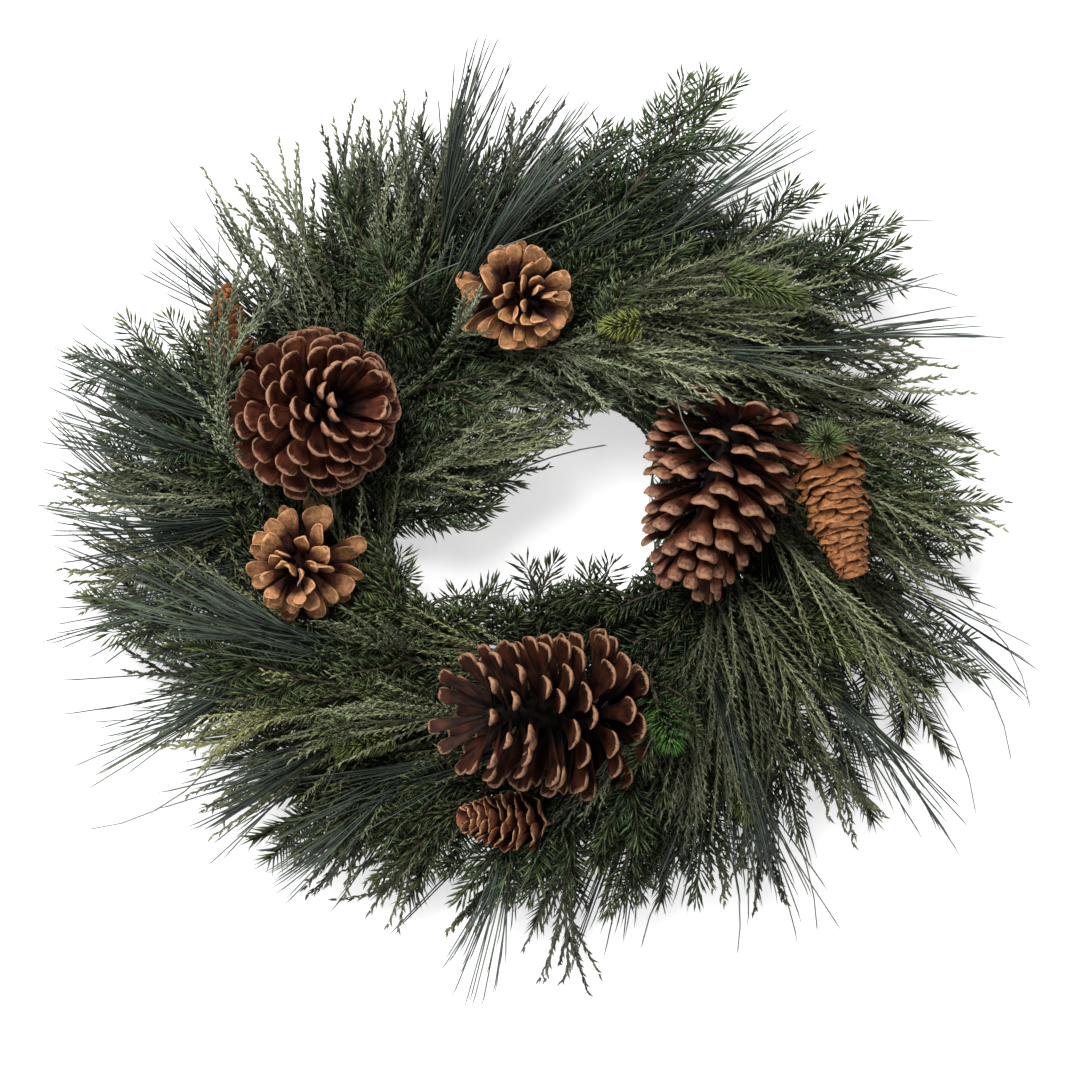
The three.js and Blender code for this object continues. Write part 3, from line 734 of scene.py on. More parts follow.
def cedar_spray(draw, stem, face, fresh, side_length=74.0, lace=None, plain=False, over=""):
    """The solids of one cedar plume. lace is the length of its finest twigs. A plain one has fewer
    and wider scales, for the lowest layers."""
    lace = lace or draw.uniform(5.0, 10.0)
    scales_every, scale_width = PLAIN_CEDAR_SCALES if plain else CEDAR_SCALES
    which, share, order = stations(stem, CEDAR_BRANCHES_EVERY * MM, (0.06, 0.97))
    many = len(which)
    length = side_length * MM * (1.05 - 0.62 * share) * draw.uniform(0.7, 1.15, many)
    hand = np.where(order % 2, 0, np.pi) + draw.normal(0, 0.45, many)
    angle = np.radians(draw.uniform(7, 25, many))
    tone = draw.uniform(0, 1, many)
    branches = grown(stem, (which, share), face, angle, hand, length, 0.12, fresh, tone)
    branches = branches._replace(bend=branches.bend + draw.normal(0, 6.0, (many, 3)) * MM)
    branches = has_room(swept(branches, CEDAR_SWEEP), over)
    body = together(stem._replace(age=stem.age + fresh), branches)
    which, share, order = stations(body, (2.0 + 0.12 * lace) * MM, (0.1, 0.99))
    many = len(which)
    length = lace * (1.1 - 0.65 * share) * MM * draw.uniform(0.65, 1.15, many)
    hand = np.where(order % 2, 0, np.pi) + draw.normal(0, 0.45, many)
    angle = np.radians(draw.uniform(15, 32, many))
    tone = np.clip(body.tone[which] * 0.7 + draw.uniform(0, 0.3, many), 0, 1)
    twiglets = grown(body, (which, share), face, angle, hand, length, 0.2, body.age[which], tone)
    twiglets = has_room(twiglets, over)
    threads = together(branches, twiglets)
    which, share, order = stations(threads, scales_every * MM)
    many = len(which)
    roll = order * SPIRAL + draw.normal(0, 0.3, many)
    tone = np.clip(threads.tone[which] + draw.normal(0, 0.16, many), 0, 1)
    age = np.clip(threads.age[which] * (0.4 + share), 0, 1)
    length = draw.uniform(3.2, 4.8, many) * MM
    scales = grown(threads, (which, share), face, SCALE_LEAN, roll, length, 0.3, age, tone)
    return fused([
        solids(stem, 3.2 * MM, STEM, sides=5, paint=1),
        solids(branches, 1.7 * MM, THREAD),
        spikes(twiglets, 2.0 * MM),
        spikes(scales, scale_width * MM),
    ])


# %% [markdown]
# ## The sprays of the CAD wreath
# Each CAD spray is a stem with a few plain leaves. Its fine spray grows on the very same stem:
# rooted in the ring, arched over it, and ending where the CAD says. The rows repeat the part's
# own list: a kind, the root's angle and radius, the tip, and the height of the arch.

# %% List the sprays
F, P, C = "fir", "pine", "cedar"
SPRAYS = [
    (C, (123, 134), (-39, 255, 40), 58), (P, (114, 136), (-34, 282, 62), 76),
    (C, (106, 136), (6, 250, 34), 46), (F, (97, 137), (62, 236, 26), 34),
    (F, (84, 137), (132, 264, 44), 48), (P, (70, 137), (150, 236, 56), 70),
    (F, (60, 137), (180, 198, 24), 30), (F, (48, 137), (231, 165, 36), 42),
    (P, (40, 137), (268, 128, 56), 66), (C, (30, 137), (249, 81, 30), 34),
    (C, (21, 137), (280, 42, 38), 42), (F, (8, 137), (286, 6, 22), 26),
    (P, (-3, 137), (323, -84, 34), 34), (F, (-14, 137), (279, -99, 20), 26),
    (P, (-25, 137), (270, -178, 42), 56), (C, (-36, 137), (219, -189, 30), 42),
    (P, (-46, 137), (172, -238, 46), 62), (C, (-57, 137), (129, -233, 30), 40),
    (F, (-69, 137), (84, -230, 24), 30), (C, (-82, 137), (27, -292, 16), 30),
    (P, (-93, 137), (-16, -286, 40), 46), (C, (-105, 137), (-88, -246, 20), 30),
    (C, (-117, 137), (-128, -232, 34), 40), (P, (-128, 137), (-186, -201, 50), 60),
    (C, (-140, 137), (-192, -184, 22), 32), (P, (-151, 137), (-250, -158, 44), 56),
    (C, (-161, 137), (-206, -141, 24), 28), (P, (-172, 137), (-281, -83, 38), 44),
    (C, (178, 137), (-275, -50, 26), 30), (C, (168, 137), (-267, 21, 24), 28),
    (P, (160, 137), (-284, 78, 50), 52), (F, (151, 137), (-278, 98, 20), 28),
    (P, (141, 137), (-232, 150, 46), 56), (C, (132, 137), (-176, 196, 28), 40),
    (C, (129, 122), (-92, 240, 52), 78),
    (P, (121, 118), (34, 238, 66), 84), (F, (115, 108), (-92, 158, 78), 100),
    (C, (76, 112), (165, 150, 74), 104), (F, (70, 100), (60, 112, 92), 110),
    (P, (60, 112), (178, 92, 72), 98), (C, (-34, 112), (102, -192, 70), 104),
    (F, (-22, 116), (194, -88, 56), 72), (P, (-28, 104), (150, -176, 70), 104),
    (F, (-50, 112), (84, -136, 88), 118), (F, (-36, 98), (40, -38, 40), 44),
    (F, (-66, 98), (20, -34, 30), 34), (F, (-116, 98), (-66, -40, 34), 42),
    (C, (-124, 108), (-122, -44, 72), 104), (P, (-136, 112), (-232, -66, 68), 94),
    (C, (172, 100), (20, 54, 52), 78), (F, (-176, 99), (-12, 6, 34), 44),
]
print("listed sprays:", len(SPRAYS))

# %% [markdown]
# ## What changes round the wreath
# The wreath isn't the same all the way round. At the lower left the growth is yellower, at the left the pine
# tufts are fullest, and the lower right is painted darkest, as painted shade. A few tables hold such values
# by angle in degrees, from 0 at the right and on anticlockwise, and are read in between.

# %% Tables read by angle or distance
FRESHNESS = [  # angle round the wreath, and how yellow the growth is there
    (-180, 0.30), (-160, 0.34), (-140, 0.40), (-115, 0.25), (-85, 0.12), (-60, 0.20), (-30, 0.34),
    (0, 0.30), (30, 0.16), (60, 0.10), (110, 0.06), (150, 0.12), (180, 0.30),
]
BUNDLES = [  # angle round the wreath, and how many bundles of needles a pine tuft has there
    (-180, 22), (-130, 20), (-95, 17), (-60, 16), (-20, 13), (10, 9), (45, 10), (75, 15), (95, 18),
    (125, 12), (150, 16), (180, 22),
]
# the crown's height also sets the painted shade of the leaves under it
CROWN = [  # distance from the ring's middle, and how high the leaves stand there
    (40, 46), (70, 64), (105, 92), (150, 92), (200, 62), (250, 40), (300, 26),
]
# painted light and shade round the wreath: how light the leaves are painted at each angle, darkest at the
# lower right
PAINTED_LIGHT_ROUND = [  # angle round the wreath, and how light the leaves are there
    (-180, 1.0), (-140, 0.90), (-100, 0.76), (-60, 0.42), (-30, 0.54), (10, 0.86), (60, 0.84), (90, 0.68),
    (130, 0.70), (160, 0.90), (180, 1.0),
]


def read_round(table, angle):
    """The value that a table round the wreath gives at an angle."""
    return np.interp((angle + 180) % 360 - 180, *zip(*table))


def painted_light_share(corners):
    """How near corners are to the crown of the leaves; it sets the painted shade that darkens leaves deep
    under the crown.
    """
    away = np.linalg.norm((corners - MIDDLE)[:, :2], axis=1) / MM
    return np.clip(corners[:, 2] / MM / np.interp(away, *zip(*CROWN)), 0, 1.2)


print("freshness at the top", read_round(FRESHNESS, 90), "and at the left", read_round(FRESHNESS, 180))

# %% [markdown]
# ## One spray from stem to piece
# A florist holds the stem, pushes it in and lets the spray arch over. The stem does the same here: it starts
# inside the ring, bows up and ends where its wood ends, short of the last needle. The rest of the spray then
# grows on it, and its leaves are painted darker the deeper they lie under the crown, and lighter or darker by
# their angle round the wreath: painted shade and painted light.

# %% Grow one spray
ROOT_HEIGHT = 10.0
ARCH_AT = 0.4
OVERHANG = {F: 6.0, P: 86.0, C: 18.0}  # how far the needles reach past the wood
STEM_STEPS = 50
LEAST_WOOD = 0.2
FACE_TILT = 0.28
# painted shade: how light the deepest leaves are painted, and how much lighter nearness to the crown paints
# them
DEEP_SHADE_BASE, DEEP_SHADE_GAIN = 0.16, 0.98  # tone of the deepest leaves, and what the crown adds to it
GROW = {F: fir_spray, P: pine_spray, C: cedar_spray}
PAINTS = {F: (FIR_GREEN, FIR_BARK), P: (PINE_BLUE, FIR_BARK), C: (CEDAR_GREY, CEDAR_BARK)}
triangles_of = {F: [], P: [], C: []}


def stem_shoot(kind, root, tip, arch, bulge=0.0):
    """A spray's stem as a single shoot, from inside the ring to where its wood ends. It bows up
    to its arch, and bulge bows it away from the ring's middle as well."""
    start, end = round_ring(*root, ROOT_HEIGHT), spot(*tip)
    bow = start + (end - start) * ARCH_AT
    bow += unit((bow - MIDDLE) * (1, 1, 0)) * bulge * MM
    bow[2] = arch * MM
    share = np.linspace(0, 1, STEM_STEPS)[:, None]
    curve = start * (1 - share) ** 2 + 2 * bow * share * (1 - share) + end * share**2
    whole = np.linalg.norm(np.diff(curve, axis=0), axis=1).sum()
    wood = max(LEAST_WOOD, 1 - OVERHANG[kind] * MM / whole)
    run, bend = 2 * (bow - start) * wood, (start - 2 * bow + end) * wood**2
    return Shoots(start[None], run[None], bend[None], np.array([0.0]), np.array([0.5]))


def spray_face(draw, stem):
    """Which way the flat of a spray faces: up, tipped a little to one side."""
    side = np.cross(UP, way_on(stem, np.array([0]), np.array([0.6]))[0])
    return unit(UP + side * draw.normal(0, FACE_TILT))


def grow_spray(name, seed, row, stands_for=(), add_fresh=0.0, bulge=0.0, **wishes):
    """One spray, grown on its stem and made into a piece. wishes go to the kind's own function."""
    kind, root, tip, arch = row
    draw = np.random.default_rng(seed)
    stem = stem_shoot(kind, root, tip, arch, bulge)
    angle = np.degrees(np.arctan2(tip[1], tip[0]))
    fresh = read_round(FRESHNESS, angle) * (1.0 if kind == C else 0.3) * draw.uniform(0.4, 1.6)
    fresh = max(0.0, fresh + add_fresh)
    if kind == P:
        wishes["bundles"] = int(read_round(BUNDLES, angle))
    lot = GROW[kind](draw, stem, spray_face(draw, stem), fresh, **wishes)
    # painted shade: leaves deep under the crown are painted darker, and the angle round the wreath paints
    # them lighter or darker
    painted_shade = DEEP_SHADE_BASE + DEEP_SHADE_GAIN * painted_light_share(lot["corners"])
    own = draw.uniform(0.6, 1.3)
    lot["tone"] = np.clip(lot["tone"] * own * read_round(PAINTED_LIGHT_ROUND, angle) * painted_shade, 0, 1)
    triangles_of[kind].append(len(lot["faces"]))
    make_piece(name, lot, PAINTS[kind], stands_for)


# %% [markdown]
# ## The listed sprays
# Each listed spray takes the place of the CAD spray of the same name.

# %% Grow the listed sprays
numbers = {F: 0, P: 0, C: 0}
for seed, row in enumerate(SPRAYS):
    numbers[row[0]] += 1
    label = f"{row[0]}_spray_{numbers[row[0]]:02d}"
    grow_spray(f"fine_{label}", 500 + seed, row, stands_for=(label,))
print("listed sprays:", numbers, "triangles so far", sum(triangles.values()))

# %% [markdown]
# ## Sprays that shape the edges
# The eye goes to the edges first: the rim of the hole, the tips that break the outline, and the
# curtains of cedar that fall over the side. These sprays are set one by one, like the listed
# ones, but they are too fine to be worth a place in the CAD. A spray that is allowed over a cone
# hides a part of it, as on the real wreath.

# %% Set the edge sprays
OVER, INTO = dict(over="cones"), dict(over="hole")
YELLOWER, GREYER = dict(add_fresh=0.30), dict(add_fresh=-0.2)
CURTAIN = dict(lace=5.0, side_length=96.0)
PLUME = dict(side_length=92.0, add_fresh=0.12)
SHORT = dict(twig_length=34.0)
EDGES = [
    # over the small cone at the left, and over the top left of the tall one
    (C, (186, 137), (-128, 136, 96), 132, dict(lace=9.0, side_length=46.0, bulge=96.0, **GREYER, **OVER)),
    (C, (180, 138), (-150, 150, 92), 128, dict(lace=8.0, side_length=44.0, bulge=84.0, **OVER)),
    (C, (98, 112), (108, 62, 100), 120, dict(lace=8.0, side_length=56.0, **OVER)),
    (C, (118, 108), (-26, 127, 106), 122, dict(lace=6.0, side_length=40.0, **GREYER, **OVER)),
    # round the hole: from the left over the top to the right, then along its lower rim
    (C, (168, 106), (22, 42, 56), 76, dict(lace=10.0, **YELLOWER)),
    (C, (158, 106), (28, 57, 52), 72, dict(lace=9.0, **YELLOWER)),
    (C, (178, 104), (4, 32, 46), 66, dict(lace=10.0)),
    (F, (-176, 103), (-16, 8, 38), 50), (F, (170, 104), (0, 20, 40), 58),
    (C, (148, 108), (14, 74, 52), 66), (F, (138, 108), (-16, 84, 54), 70),
    (F, (160, 104), (-4, 48, 44), 62), (C, (118, 108), (40, 66, 46), 66, dict(lace=8.0)),
    (C, (108, 106), (60, 64, 46), 62, dict(lace=9.0, **GREYER)),
    (C, (96, 108), (96, 70, 88), 108, dict(lace=9.0, **OVER)),
    (C, (104, 110), (86, 84, 84), 104, dict(lace=10.0, **OVER)),
    (C, (88, 110), (118, 78, 112), 128, dict(lace=9.0, **OVER)),
    (F, (80, 106), (76, 78, 40), 50),
    (F, (-152, 104), (-66, -34, 30), 40, dict(**SHORT, **INTO)), (F, (-140, 104), (-40, -45, 26), 36),
    (F, (-124, 102), (-14, -38, 24), 30, dict(**SHORT, **INTO)),
    (F, (-98, 100), (20, -22, 26), 26, dict(**SHORT, **INTO)),
    (F, (-112, 100), (-24, -46, 24), 28),
    (F, (-60, 100), (36, -28, 30), 34, dict(twig_length=40.0, **INTO)),
    (F, (-46, 100), (46, -30, 34), 38), (F, (-80, 100), (4, -38, 22), 24),
    (F, (-90, 100), (-6, -54, 20), 24), (F, (-68, 100), (26, -50, 20), 24),
    # more growth at the left, where the outline is fullest, and one fir at the top left
    (F, (166, 136), (-256, 60, 36), 48),
    (P, (168, 136), (-290, 46, 44), 54), (P, (178, 136), (-298, -26, 38), 50),
    (C, (174, 136), (-284, 8, 34), 48, dict(lace=6.0)), (F, (120, 132), (-118, 200, 46), 58),
    # and at the right and the lower left
    (C, (6, 136), (282, 2, 34), 46), (F, (0, 136), (268, -18, 30), 44),
    (F, (12, 136), (272, 30, 30), 44), (F, (-112, 134), (-150, -196, 30), 44),
    (P, (-110, 136), (-136, -222, 40), 48),
    # the fir tips at the left, top and right
    (F, (172, 136), (-232, 104, 32), 44), (F, (164, 134), (-204, 108, 34), 42),
    (F, (84, 130), (116, 262, 52), 62, dict(twig_length=66.0)), (F, (52, 134), (226, 178, 40), 50),
    # dark fir along the bottom
    (F, (-56, 134), (-2, -236, 34), 50), (F, (-70, 134), (-44, -236, 30), 46),
    (F, (-84, 134), (-92, -222, 34), 48), (F, (-100, 134), (-140, -206, 30), 44),
    (F, (-40, 134), (48, -244, 34), 50), (F, (-26, 134), (102, -236, 34), 50),
    # the big plume over the upper right
    (C, (86, 112), (158, 160, 86), 112, dict(lace=6.5, **PLUME)),
    (C, (72, 114), (176, 132, 78), 104, dict(lace=6.0, **PLUME)),
    # curtains over the right and the lower right
    (C, (36, 118), (240, -8, 58), 88, CURTAIN), (C, (26, 118), (252, -48, 52), 84, CURTAIN),
    (C, (14, 118), (228, -98, 54), 84, CURTAIN), (C, (-8, 114), (182, -140, 62), 90, CURTAIN),
    (C, (-16, 112), (152, -152, 68), 96, CURTAIN), (C, (-24, 112), (122, -172, 68), 96, CURTAIN),
    # upright strands at the upper left, and yellow ones at the lower left
    (C, (148, 128), (-186, 190, 46), 62, dict(lace=5.5)),
    (C, (140, 128), (-152, 214, 42), 58, dict(lace=5.5)),
    (C, (130, 128), (-114, 238, 40), 58, dict(lace=5.5)),
    (C, (122, 126), (-72, 248, 38), 52, dict(lace=6.0)),
    (C, (-134, 128), (-206, -146, 46), 64, dict(lace=9.0, **YELLOWER)),
    (C, (-122, 128), (-176, -182, 42), 58, dict(lace=9.0, **YELLOWER)),
]

for number, (kind, root, tip, arch, *wishes) in enumerate(EDGES):
    wishes = wishes[0] if wishes else {}
    grow_spray(f"edge_{kind}_{number + 1:02d}", 3000 + number, (kind, root, tip, arch), **wishes)
print("edge sprays:", len(EDGES), "triangles so far", sum(triangles.values()))

# %% [markdown]
# ## A plan for the filling
# The sprays so far give every direction and both edges of the wreath, but a florist uses many
# more to hide the vines. The filling goes in by rule, in seven rings: a bed and an under layer
# low down that keep the ground from showing, the outer, upper and cover rings for the body, and
# an inner ring and a lining round the hole. What kind grows where is read from a table of the
# wreath's own patches, so that the greens stay grouped as they were gathered.

# %% Plan the filling
PATCHES = [  # from this angle up to the next: the kinds that grow there, in turn
    (-180, (P, C, F)), (-165, (C, P, C, F)), (-150, (C, C, P, F)), (-120, (C, F, C, P)), (-95, (F, P, C)),
    (-70, (C, F, C, P)), (-45, (C, C, F, C, P)), (-10, (C, C, C, F)), (20, (C, F, C, C)), (55, (F, C, F, P)),
    (85, (P, F, C)), (110, (C, F, C)), (150, (F, P, F, C)),
]
OUTLINE = [  # angle round the wreath, and how far the mass of leaves reaches there
    (-180, 288), (-170, 282), (-150, 252), (-130, 252), (-110, 268), (-90, 258), (-70, 262), (-50, 280),
    (-30, 288), (-10, 282), (10, 282), (30, 270), (50, 242), (70, 242), (90, 240), (110, 246), (130, 226),
    (148, 212), (165, 292), (180, 288),
]
LEANINGS = [  # angle round the wreath, and how many degrees its sprays turn on their way out
    (-180, 44), (-150, 38), (-120, 36), (-90, 38), (-60, 44), (-30, 50), (0, 52), (30, 48), (60, 28),
    (90, 30), (120, 38), (150, 42), (180, 44),
]
FILLINGS = {  # how many, root radius, share of the outline's radius, share of the turn, tip height, arch
    "bed": (20, 130, 0.80, 0.8, 10, 12),
    "under": (36, 134, 1.00, 0.8, 12, 14),
    "outer": (38, 130, 0.93, 1.0, 30, 44),
    "upper": (34, 122, 0.78, 1.2, 56, 84),
    "cover": (26, 112, 0.58, 1.4, 40, 52),
    "inner": (20, 104, 0.40, 1.3, 34, 44),
    "lining": (20, 106, 0.31, 1.1, 12, 16),
}
LOWER_TRIES = (1.0, 0.55, 0.3)
HIDDEN_RINGS = ("bed", "under", "lining")  # hardly seen, so grown with fewer triangles
PLAINER = {F: dict(plain=True), P: {}, C: dict(plain=True)}
PINE_FROM = 0.5  # share of the outline's radius within which long needles would crowd the hole
STEM_TESTS = 12
LEAST_ARCH = 12
print("filling rings:", ", ".join(FILLINGS), "with up to", sum(row[0] for row in FILLINGS.values()), "sprays")

# %% [markdown]
# ## Filling in
# Each ring goes round in nearly even steps, and every stem leaves at a slant, the same way round.
# A stem that would run into a cone or over the hole is tried again lower down, and left out if
# that doesn't help. The bed is all fir.

# %% Fill between the sprays
def filling_kind(ring_name, swing, i, share):
    """The kind that a patch has in turn, or fir where that kind would be too long or too thin."""
    angle = (swing + 180) % 360 - 180
    kinds = [kinds for start, kinds in PATCHES if start <= angle][-1]
    kind = kinds[i % len(kinds)]
    too_long = kind == P and share < PINE_FROM
    too_thin = kind == C and ring_name == "under" and i % 2
    return F if ring_name == "bed" or too_long or too_thin else kind


def stem_is_free(row):
    """Whether a filling stem keeps out of the cones and the hole."""
    shares = np.linspace(0.1, 1, STEM_TESTS)
    points = point_on(stem_shoot(*row), np.zeros(STEM_TESTS, int), shares)
    return not (in_cone(points, False) | in_hole(points)).any()


seed = 900
for ring_name, (many, root_radius, share, turn, height, arch) in FILLINGS.items():
    grew = 0
    for i in range(many):
        seed += 1
        draw = np.random.default_rng(seed)
        swing = 360 * (i + draw.uniform(-0.35, 0.35)) / many
        angle = swing + read_round(LEANINGS, swing) * turn + draw.uniform(-7, 7)
        kind = filling_kind(ring_name, swing, i, share)
        root = (angle, root_radius + draw.uniform(-8, 8))
        reach = read_round(OUTLINE, swing) * share * draw.uniform(0.93, 1.05)
        swing = np.radians(swing)
        rise, bow = draw.uniform(0.7, 1.25), draw.uniform(0.85, 1.15)
        for lower in LOWER_TRIES:
            tip = (reach * np.cos(swing), reach * np.sin(swing), height * rise * lower)
            row = (kind, root, tip, max(LEAST_ARCH, arch * bow * lower))
            if stem_is_free(row):
                wishes = PLAINER[kind] if ring_name in HIDDEN_RINGS else {}
                grow_spray(f"filling_{ring_name}_{i + 1:02d}", seed, row, **wishes)
                grew += 1
                break
    print("filling", ring_name, grew, "of", many, "triangles", sum(triangles.values()))
for kind, counts in triangles_of.items():
    print(kind, len(counts), "sprays,", sum(counts), "triangles")

# %% [markdown]
# ## Fresh tips
# Here and there the tip of a fir twig pokes straight up between the other sprays. Seen from its
# end it is a star of needles, and it is clearer or yellower than the rest, because only new growth
# shows. Each row gives where such a tip stands, which way it points, how long its needles are,
# how far down it is clothed, and how fresh it is.

# %% Set the fresh tips
TIPS = {
    "star": ((177, 43, 104), (0.1, 0.1, 1), 19, 12, 0.22),
    "bright": ((86, -131, 100), (0.15, -0.7, 0.7), 20, 30, 0.10),
    "golden": ((50, 110, 106), (-1, -0.1, 0.3), 14, 22, 0.88),
    "olive": ((158, 128, 104), (1, -0.3, 0.1), 18, 48, 0.30),
    "hanging": ((132, -177, 60), (0.3, -1, 0.2), 16, 34, 0.60),
    "right": ((195, -81, 62), (0.9, -0.5, 0.3), 16, 38, 0.35),
    "left": ((-75, 135, 84), (0.4, 1, 0.4), 14, 36, 0.35),
    "low": ((-108, -140, 60), (-1, -0.3, 0.3), 13, 36, 0.45),
}
NEEDLES_IN_A_MM = 9


def fresh_tip(draw, place, way, needle, clothed, fresh):
    """A short twig with needles on all sides."""
    way = unit(np.array(way, float)) * clothed * MM
    start = spot(*place) - way
    age, tone = np.array([fresh]), np.array([0.5])
    twig = Shoots(start[None], way[None], np.zeros((1, 3)), age, tone)
    many = int(clothed * NEEDLES_IN_A_MM)
    share = np.linspace(0.05, 1.0, many)
    angle = 1.15 - 0.75 * share**3 + draw.normal(0, 0.12, many)
    roll = np.arange(many) * SPIRAL
    reach = needle * MM * draw.uniform(0.8, 1.05, many) * (1 - 0.3 * share**3)
    ages = np.clip(fresh * draw.uniform(0.6, 1.2, many), 0, 1)
    places = (np.zeros(many, int), share)
    face = unit(np.cross(way, (0.3, 0.9, 0.1)))
    needles = grown(twig, places, face, angle, roll, reach, 0.12, ages, draw.beta(2, 1.6, many))
    return fused([
        solids(twig, 2.4 * MM, TWIG, sides=5, paint=1),
        solids(has_room(needles, "cones"), 1.2 * MM, FIR_NEEDLE, flat=0.7),
    ])


for number, (label, row) in enumerate(TIPS.items()):
    lot = fresh_tip(np.random.default_rng(2000 + number), *row)
    leaf = FIR_BRIGHT if label == "bright" else FIR_GREEN
    make_piece(f"fresh_tip_{label}", lot, (leaf, FIR_BARK))
print("fresh tips:", len(TIPS))

# %% [markdown]
# ## Stray needles
# A few long pine needles always come loose from their bundles. They lie over a cone or stick out
# of the outline on their own, and the eye takes them as proof that nothing was combed. Each row
# gives both ends of such a needle and how far it bows to its side.

# %% Lay the stray needles
STRAYS = [
    ((-92, 116, 92), (-36, 148, 100), 4), ((-84, 128, 88), (-52, 146, 98), -3),
    ((88, 70, 118), (122, 24, 122), -8),
    ((-182, 104, 56), (-203, 158, 44), 7), ((-176, 108, 52), (-193, 163, 48), 8),
    ((-170, 112, 60), (-182, 168, 52), 6), ((-198, 70, 40), (-224, 122, 34), 6),
    ((-60, 200, 50), (-34, 281, 52), -4), ((-44, 206, 44), (-12, 270, 46), -3),
    ((-96, 186, 44), (-66, 246, 40), -6), ((-118, 178, 40), (-82, 236, 42), -5),
    ((232, -96, 40), (272, -182, 26), 8), ((250, -70, 44), (293, -150, 30), 9),
    ((258, -50, 46), (304, -118, 34), 10), ((150, -170, 50), (176, -252, 30), 6),
    ((106, -190, 44), (70, -262, 26), -6), ((120, -196, 40), (128, -266, 22), 5),
    ((-200, -96, 44), (-274, -152, 26), 8), ((-188, -150, 36), (-266, -190, 20), 9),
    ((-216, -10, 44), (-292, 28, 34), -7), ((-214, -26, 40), (-296, 6, 30), -8),
    ((178, 150, 60), (246, 176, 48), 9), ((196, 128, 60), (262, 130, 44), 8),
    ((-14, 22, 58), (50, 42, 46), 3), ((46, 182, 96), (-22, 152, 122), 1),
]
STRAY = tuple((share, 0.95) for share in (0.03, 0.25, 0.5, 0.75, 0.95))
STRAY_WIDTH = 1.1

stray_draw = np.random.default_rng(4100)
many = len(STRAYS)
starts, ends = (np.array([spot(*row[end]) for row in STRAYS]) for end in (0, 1))
bows = np.array([bow for _, _, bow in STRAYS])[:, None]
# the middle of a shoot moves by a quarter of its bend
sideways = unit(np.cross(UP, ends - starts)) * bows * MM * 4
ages, tones = stray_draw.uniform(0, 0.4, many), stray_draw.uniform(0.3, 1, many)
strays = Shoots(starts, ends - starts + sideways, -sideways, ages, tones)
make_piece("stray_needles", solids(strays, STRAY_WIDTH * MM, STRAY), (PINE_BLUE,))
print("stray needles:", many)

# %% [markdown]
# ## The ring of vines
# Grapevine rings are wound from long vines that go round several times and cross each other. Each
# vine here is a tube that goes once round inside the CAD ring's section and turns about its middle
# two or three times on the way, thicker on one vine than on the next, with knots. The bark comes
# from the long grain group.

# %% Wind the vines
VINES = 9
VINE_STEPS = 100
VINE_SIDES = 6
RING_RADIUS, RING_HALF_WIDTH = 118, 21
RING_LEVEL, RING_HALF_HEIGHT = 11, 10.5
FLOOR_GAP = 0.6


def vine(draw, number):
    """One vine, wound once round the ring, as a closed tube."""
    turn = np.linspace(0, 2 * np.pi, VINE_STEPS, endpoint=False)
    around = 2 * np.pi * number / VINES + (2 + number % 2) * turn + 0.3 * np.sin(turn * 3 + number)
    heart = draw.uniform(3.4, 4.8)
    swing = (RING_HALF_WIDTH - heart) * np.cos(around) * (0.75 if number % 3 else 1.0)
    radius = RING_RADIUS + swing
    height = np.maximum(RING_LEVEL + (RING_HALF_HEIGHT - heart) * np.sin(around), heart + FLOOR_GAP)
    path = np.stack([radius * np.cos(turn), radius * np.sin(turn), height], 1)
    forward = unit(np.roll(path, -1, 0) - np.roll(path, 1, 0))
    side = unit(np.cross(UP, forward))
    above = np.cross(forward, side)
    corner = np.arange(VINE_SIDES) * 2 * np.pi / VINE_SIDES
    knots = 1 + 0.14 * np.sin(turn * 17 + number * 2) ** 8 + 0.07 * np.sin(turn * 41)
    ridges = 1 + 0.06 * draw.normal(0, 1, (VINE_STEPS, VINE_SIDES))
    thick = heart * knots[:, None] * ridges
    ring = side[:, None] * np.cos(corner)[None, :, None] + above[:, None] * np.sin(corner)[None, :, None]
    corners = (path[:, None] + ring * thick[..., None]).reshape(-1, 3) * MM + MIDDLE
    step, spoke = np.meshgrid(np.arange(VINE_STEPS), np.arange(VINE_SIDES), indexing="ij")
    a = step * VINE_SIDES + spoke
    b = step * VINE_SIDES + (spoke + 1) % VINE_SIDES
    c = (step + 1) % VINE_STEPS * VINE_SIDES + (spoke + 1) % VINE_SIDES
    d = (step + 1) % VINE_STEPS * VINE_SIDES + spoke
    faces = np.concatenate([np.stack([a, b, c], -1).reshape(-1, 3), np.stack([a, c, d], -1).reshape(-1, 3)])
    count = len(corners)
    return {
        "corners": corners,
        "faces": faces,
        "paint": np.zeros(len(faces)),
        "along": np.repeat(np.abs(turn / np.pi - 1), VINE_SIDES),
        "across": np.tile(np.abs(2 * np.arange(VINE_SIDES) / VINE_SIDES - 1), VINE_STEPS),
        "age": np.zeros(count),
        "tone": np.full(count, number / VINES),
    }


vine_draw = np.random.default_rng(77)
vines = fused([vine(vine_draw, number) for number in range(VINES)])
make_piece("wound_vines", vines, (VINE_BARK,), ("vine_ring",))
print("vines:", triangles["wound_vines"], "triangles")

# %% [markdown]
# ## The finish of a cone scale
# A cone scale is brown wood with a long grain on its shaft, and a thick weathered lip where it met its
# neighbours while the cone was closed. The lip is paler, and its edge is painted palest, partly as weathering
# and partly as a painted highlight. Each scale is also painted darker towards its root, and the core dark all
# over, as painted shade deep in the cone.
# Small dry cones are pale on both faces of a scale. Two cones of the same make can be quite
# different in colour, so the finish is one function with the colours left open.

# %% Materials for the cones
WEATHER = 420.0
CONE_ROUGHNESS, CONE_GLOSS = 0.6, 0.12
# the root keeps a small share of its colour as painted shade deep in the cone; the worn lip's share is real
# wear
ROOT_SHADE, WORN_SHADE = 0.4, 0.42  # how much of their colour the root and the worn lip keep
# how much the pale rim shows on a lip's edge, partly weathering and partly painted highlight
EDGE_HIGHLIGHT_SHOWS = 0.75


def faded(colour, share):
    """A darker form of a colour, as a socket takes it."""
    return (*(share * np.array(colour)), 1)


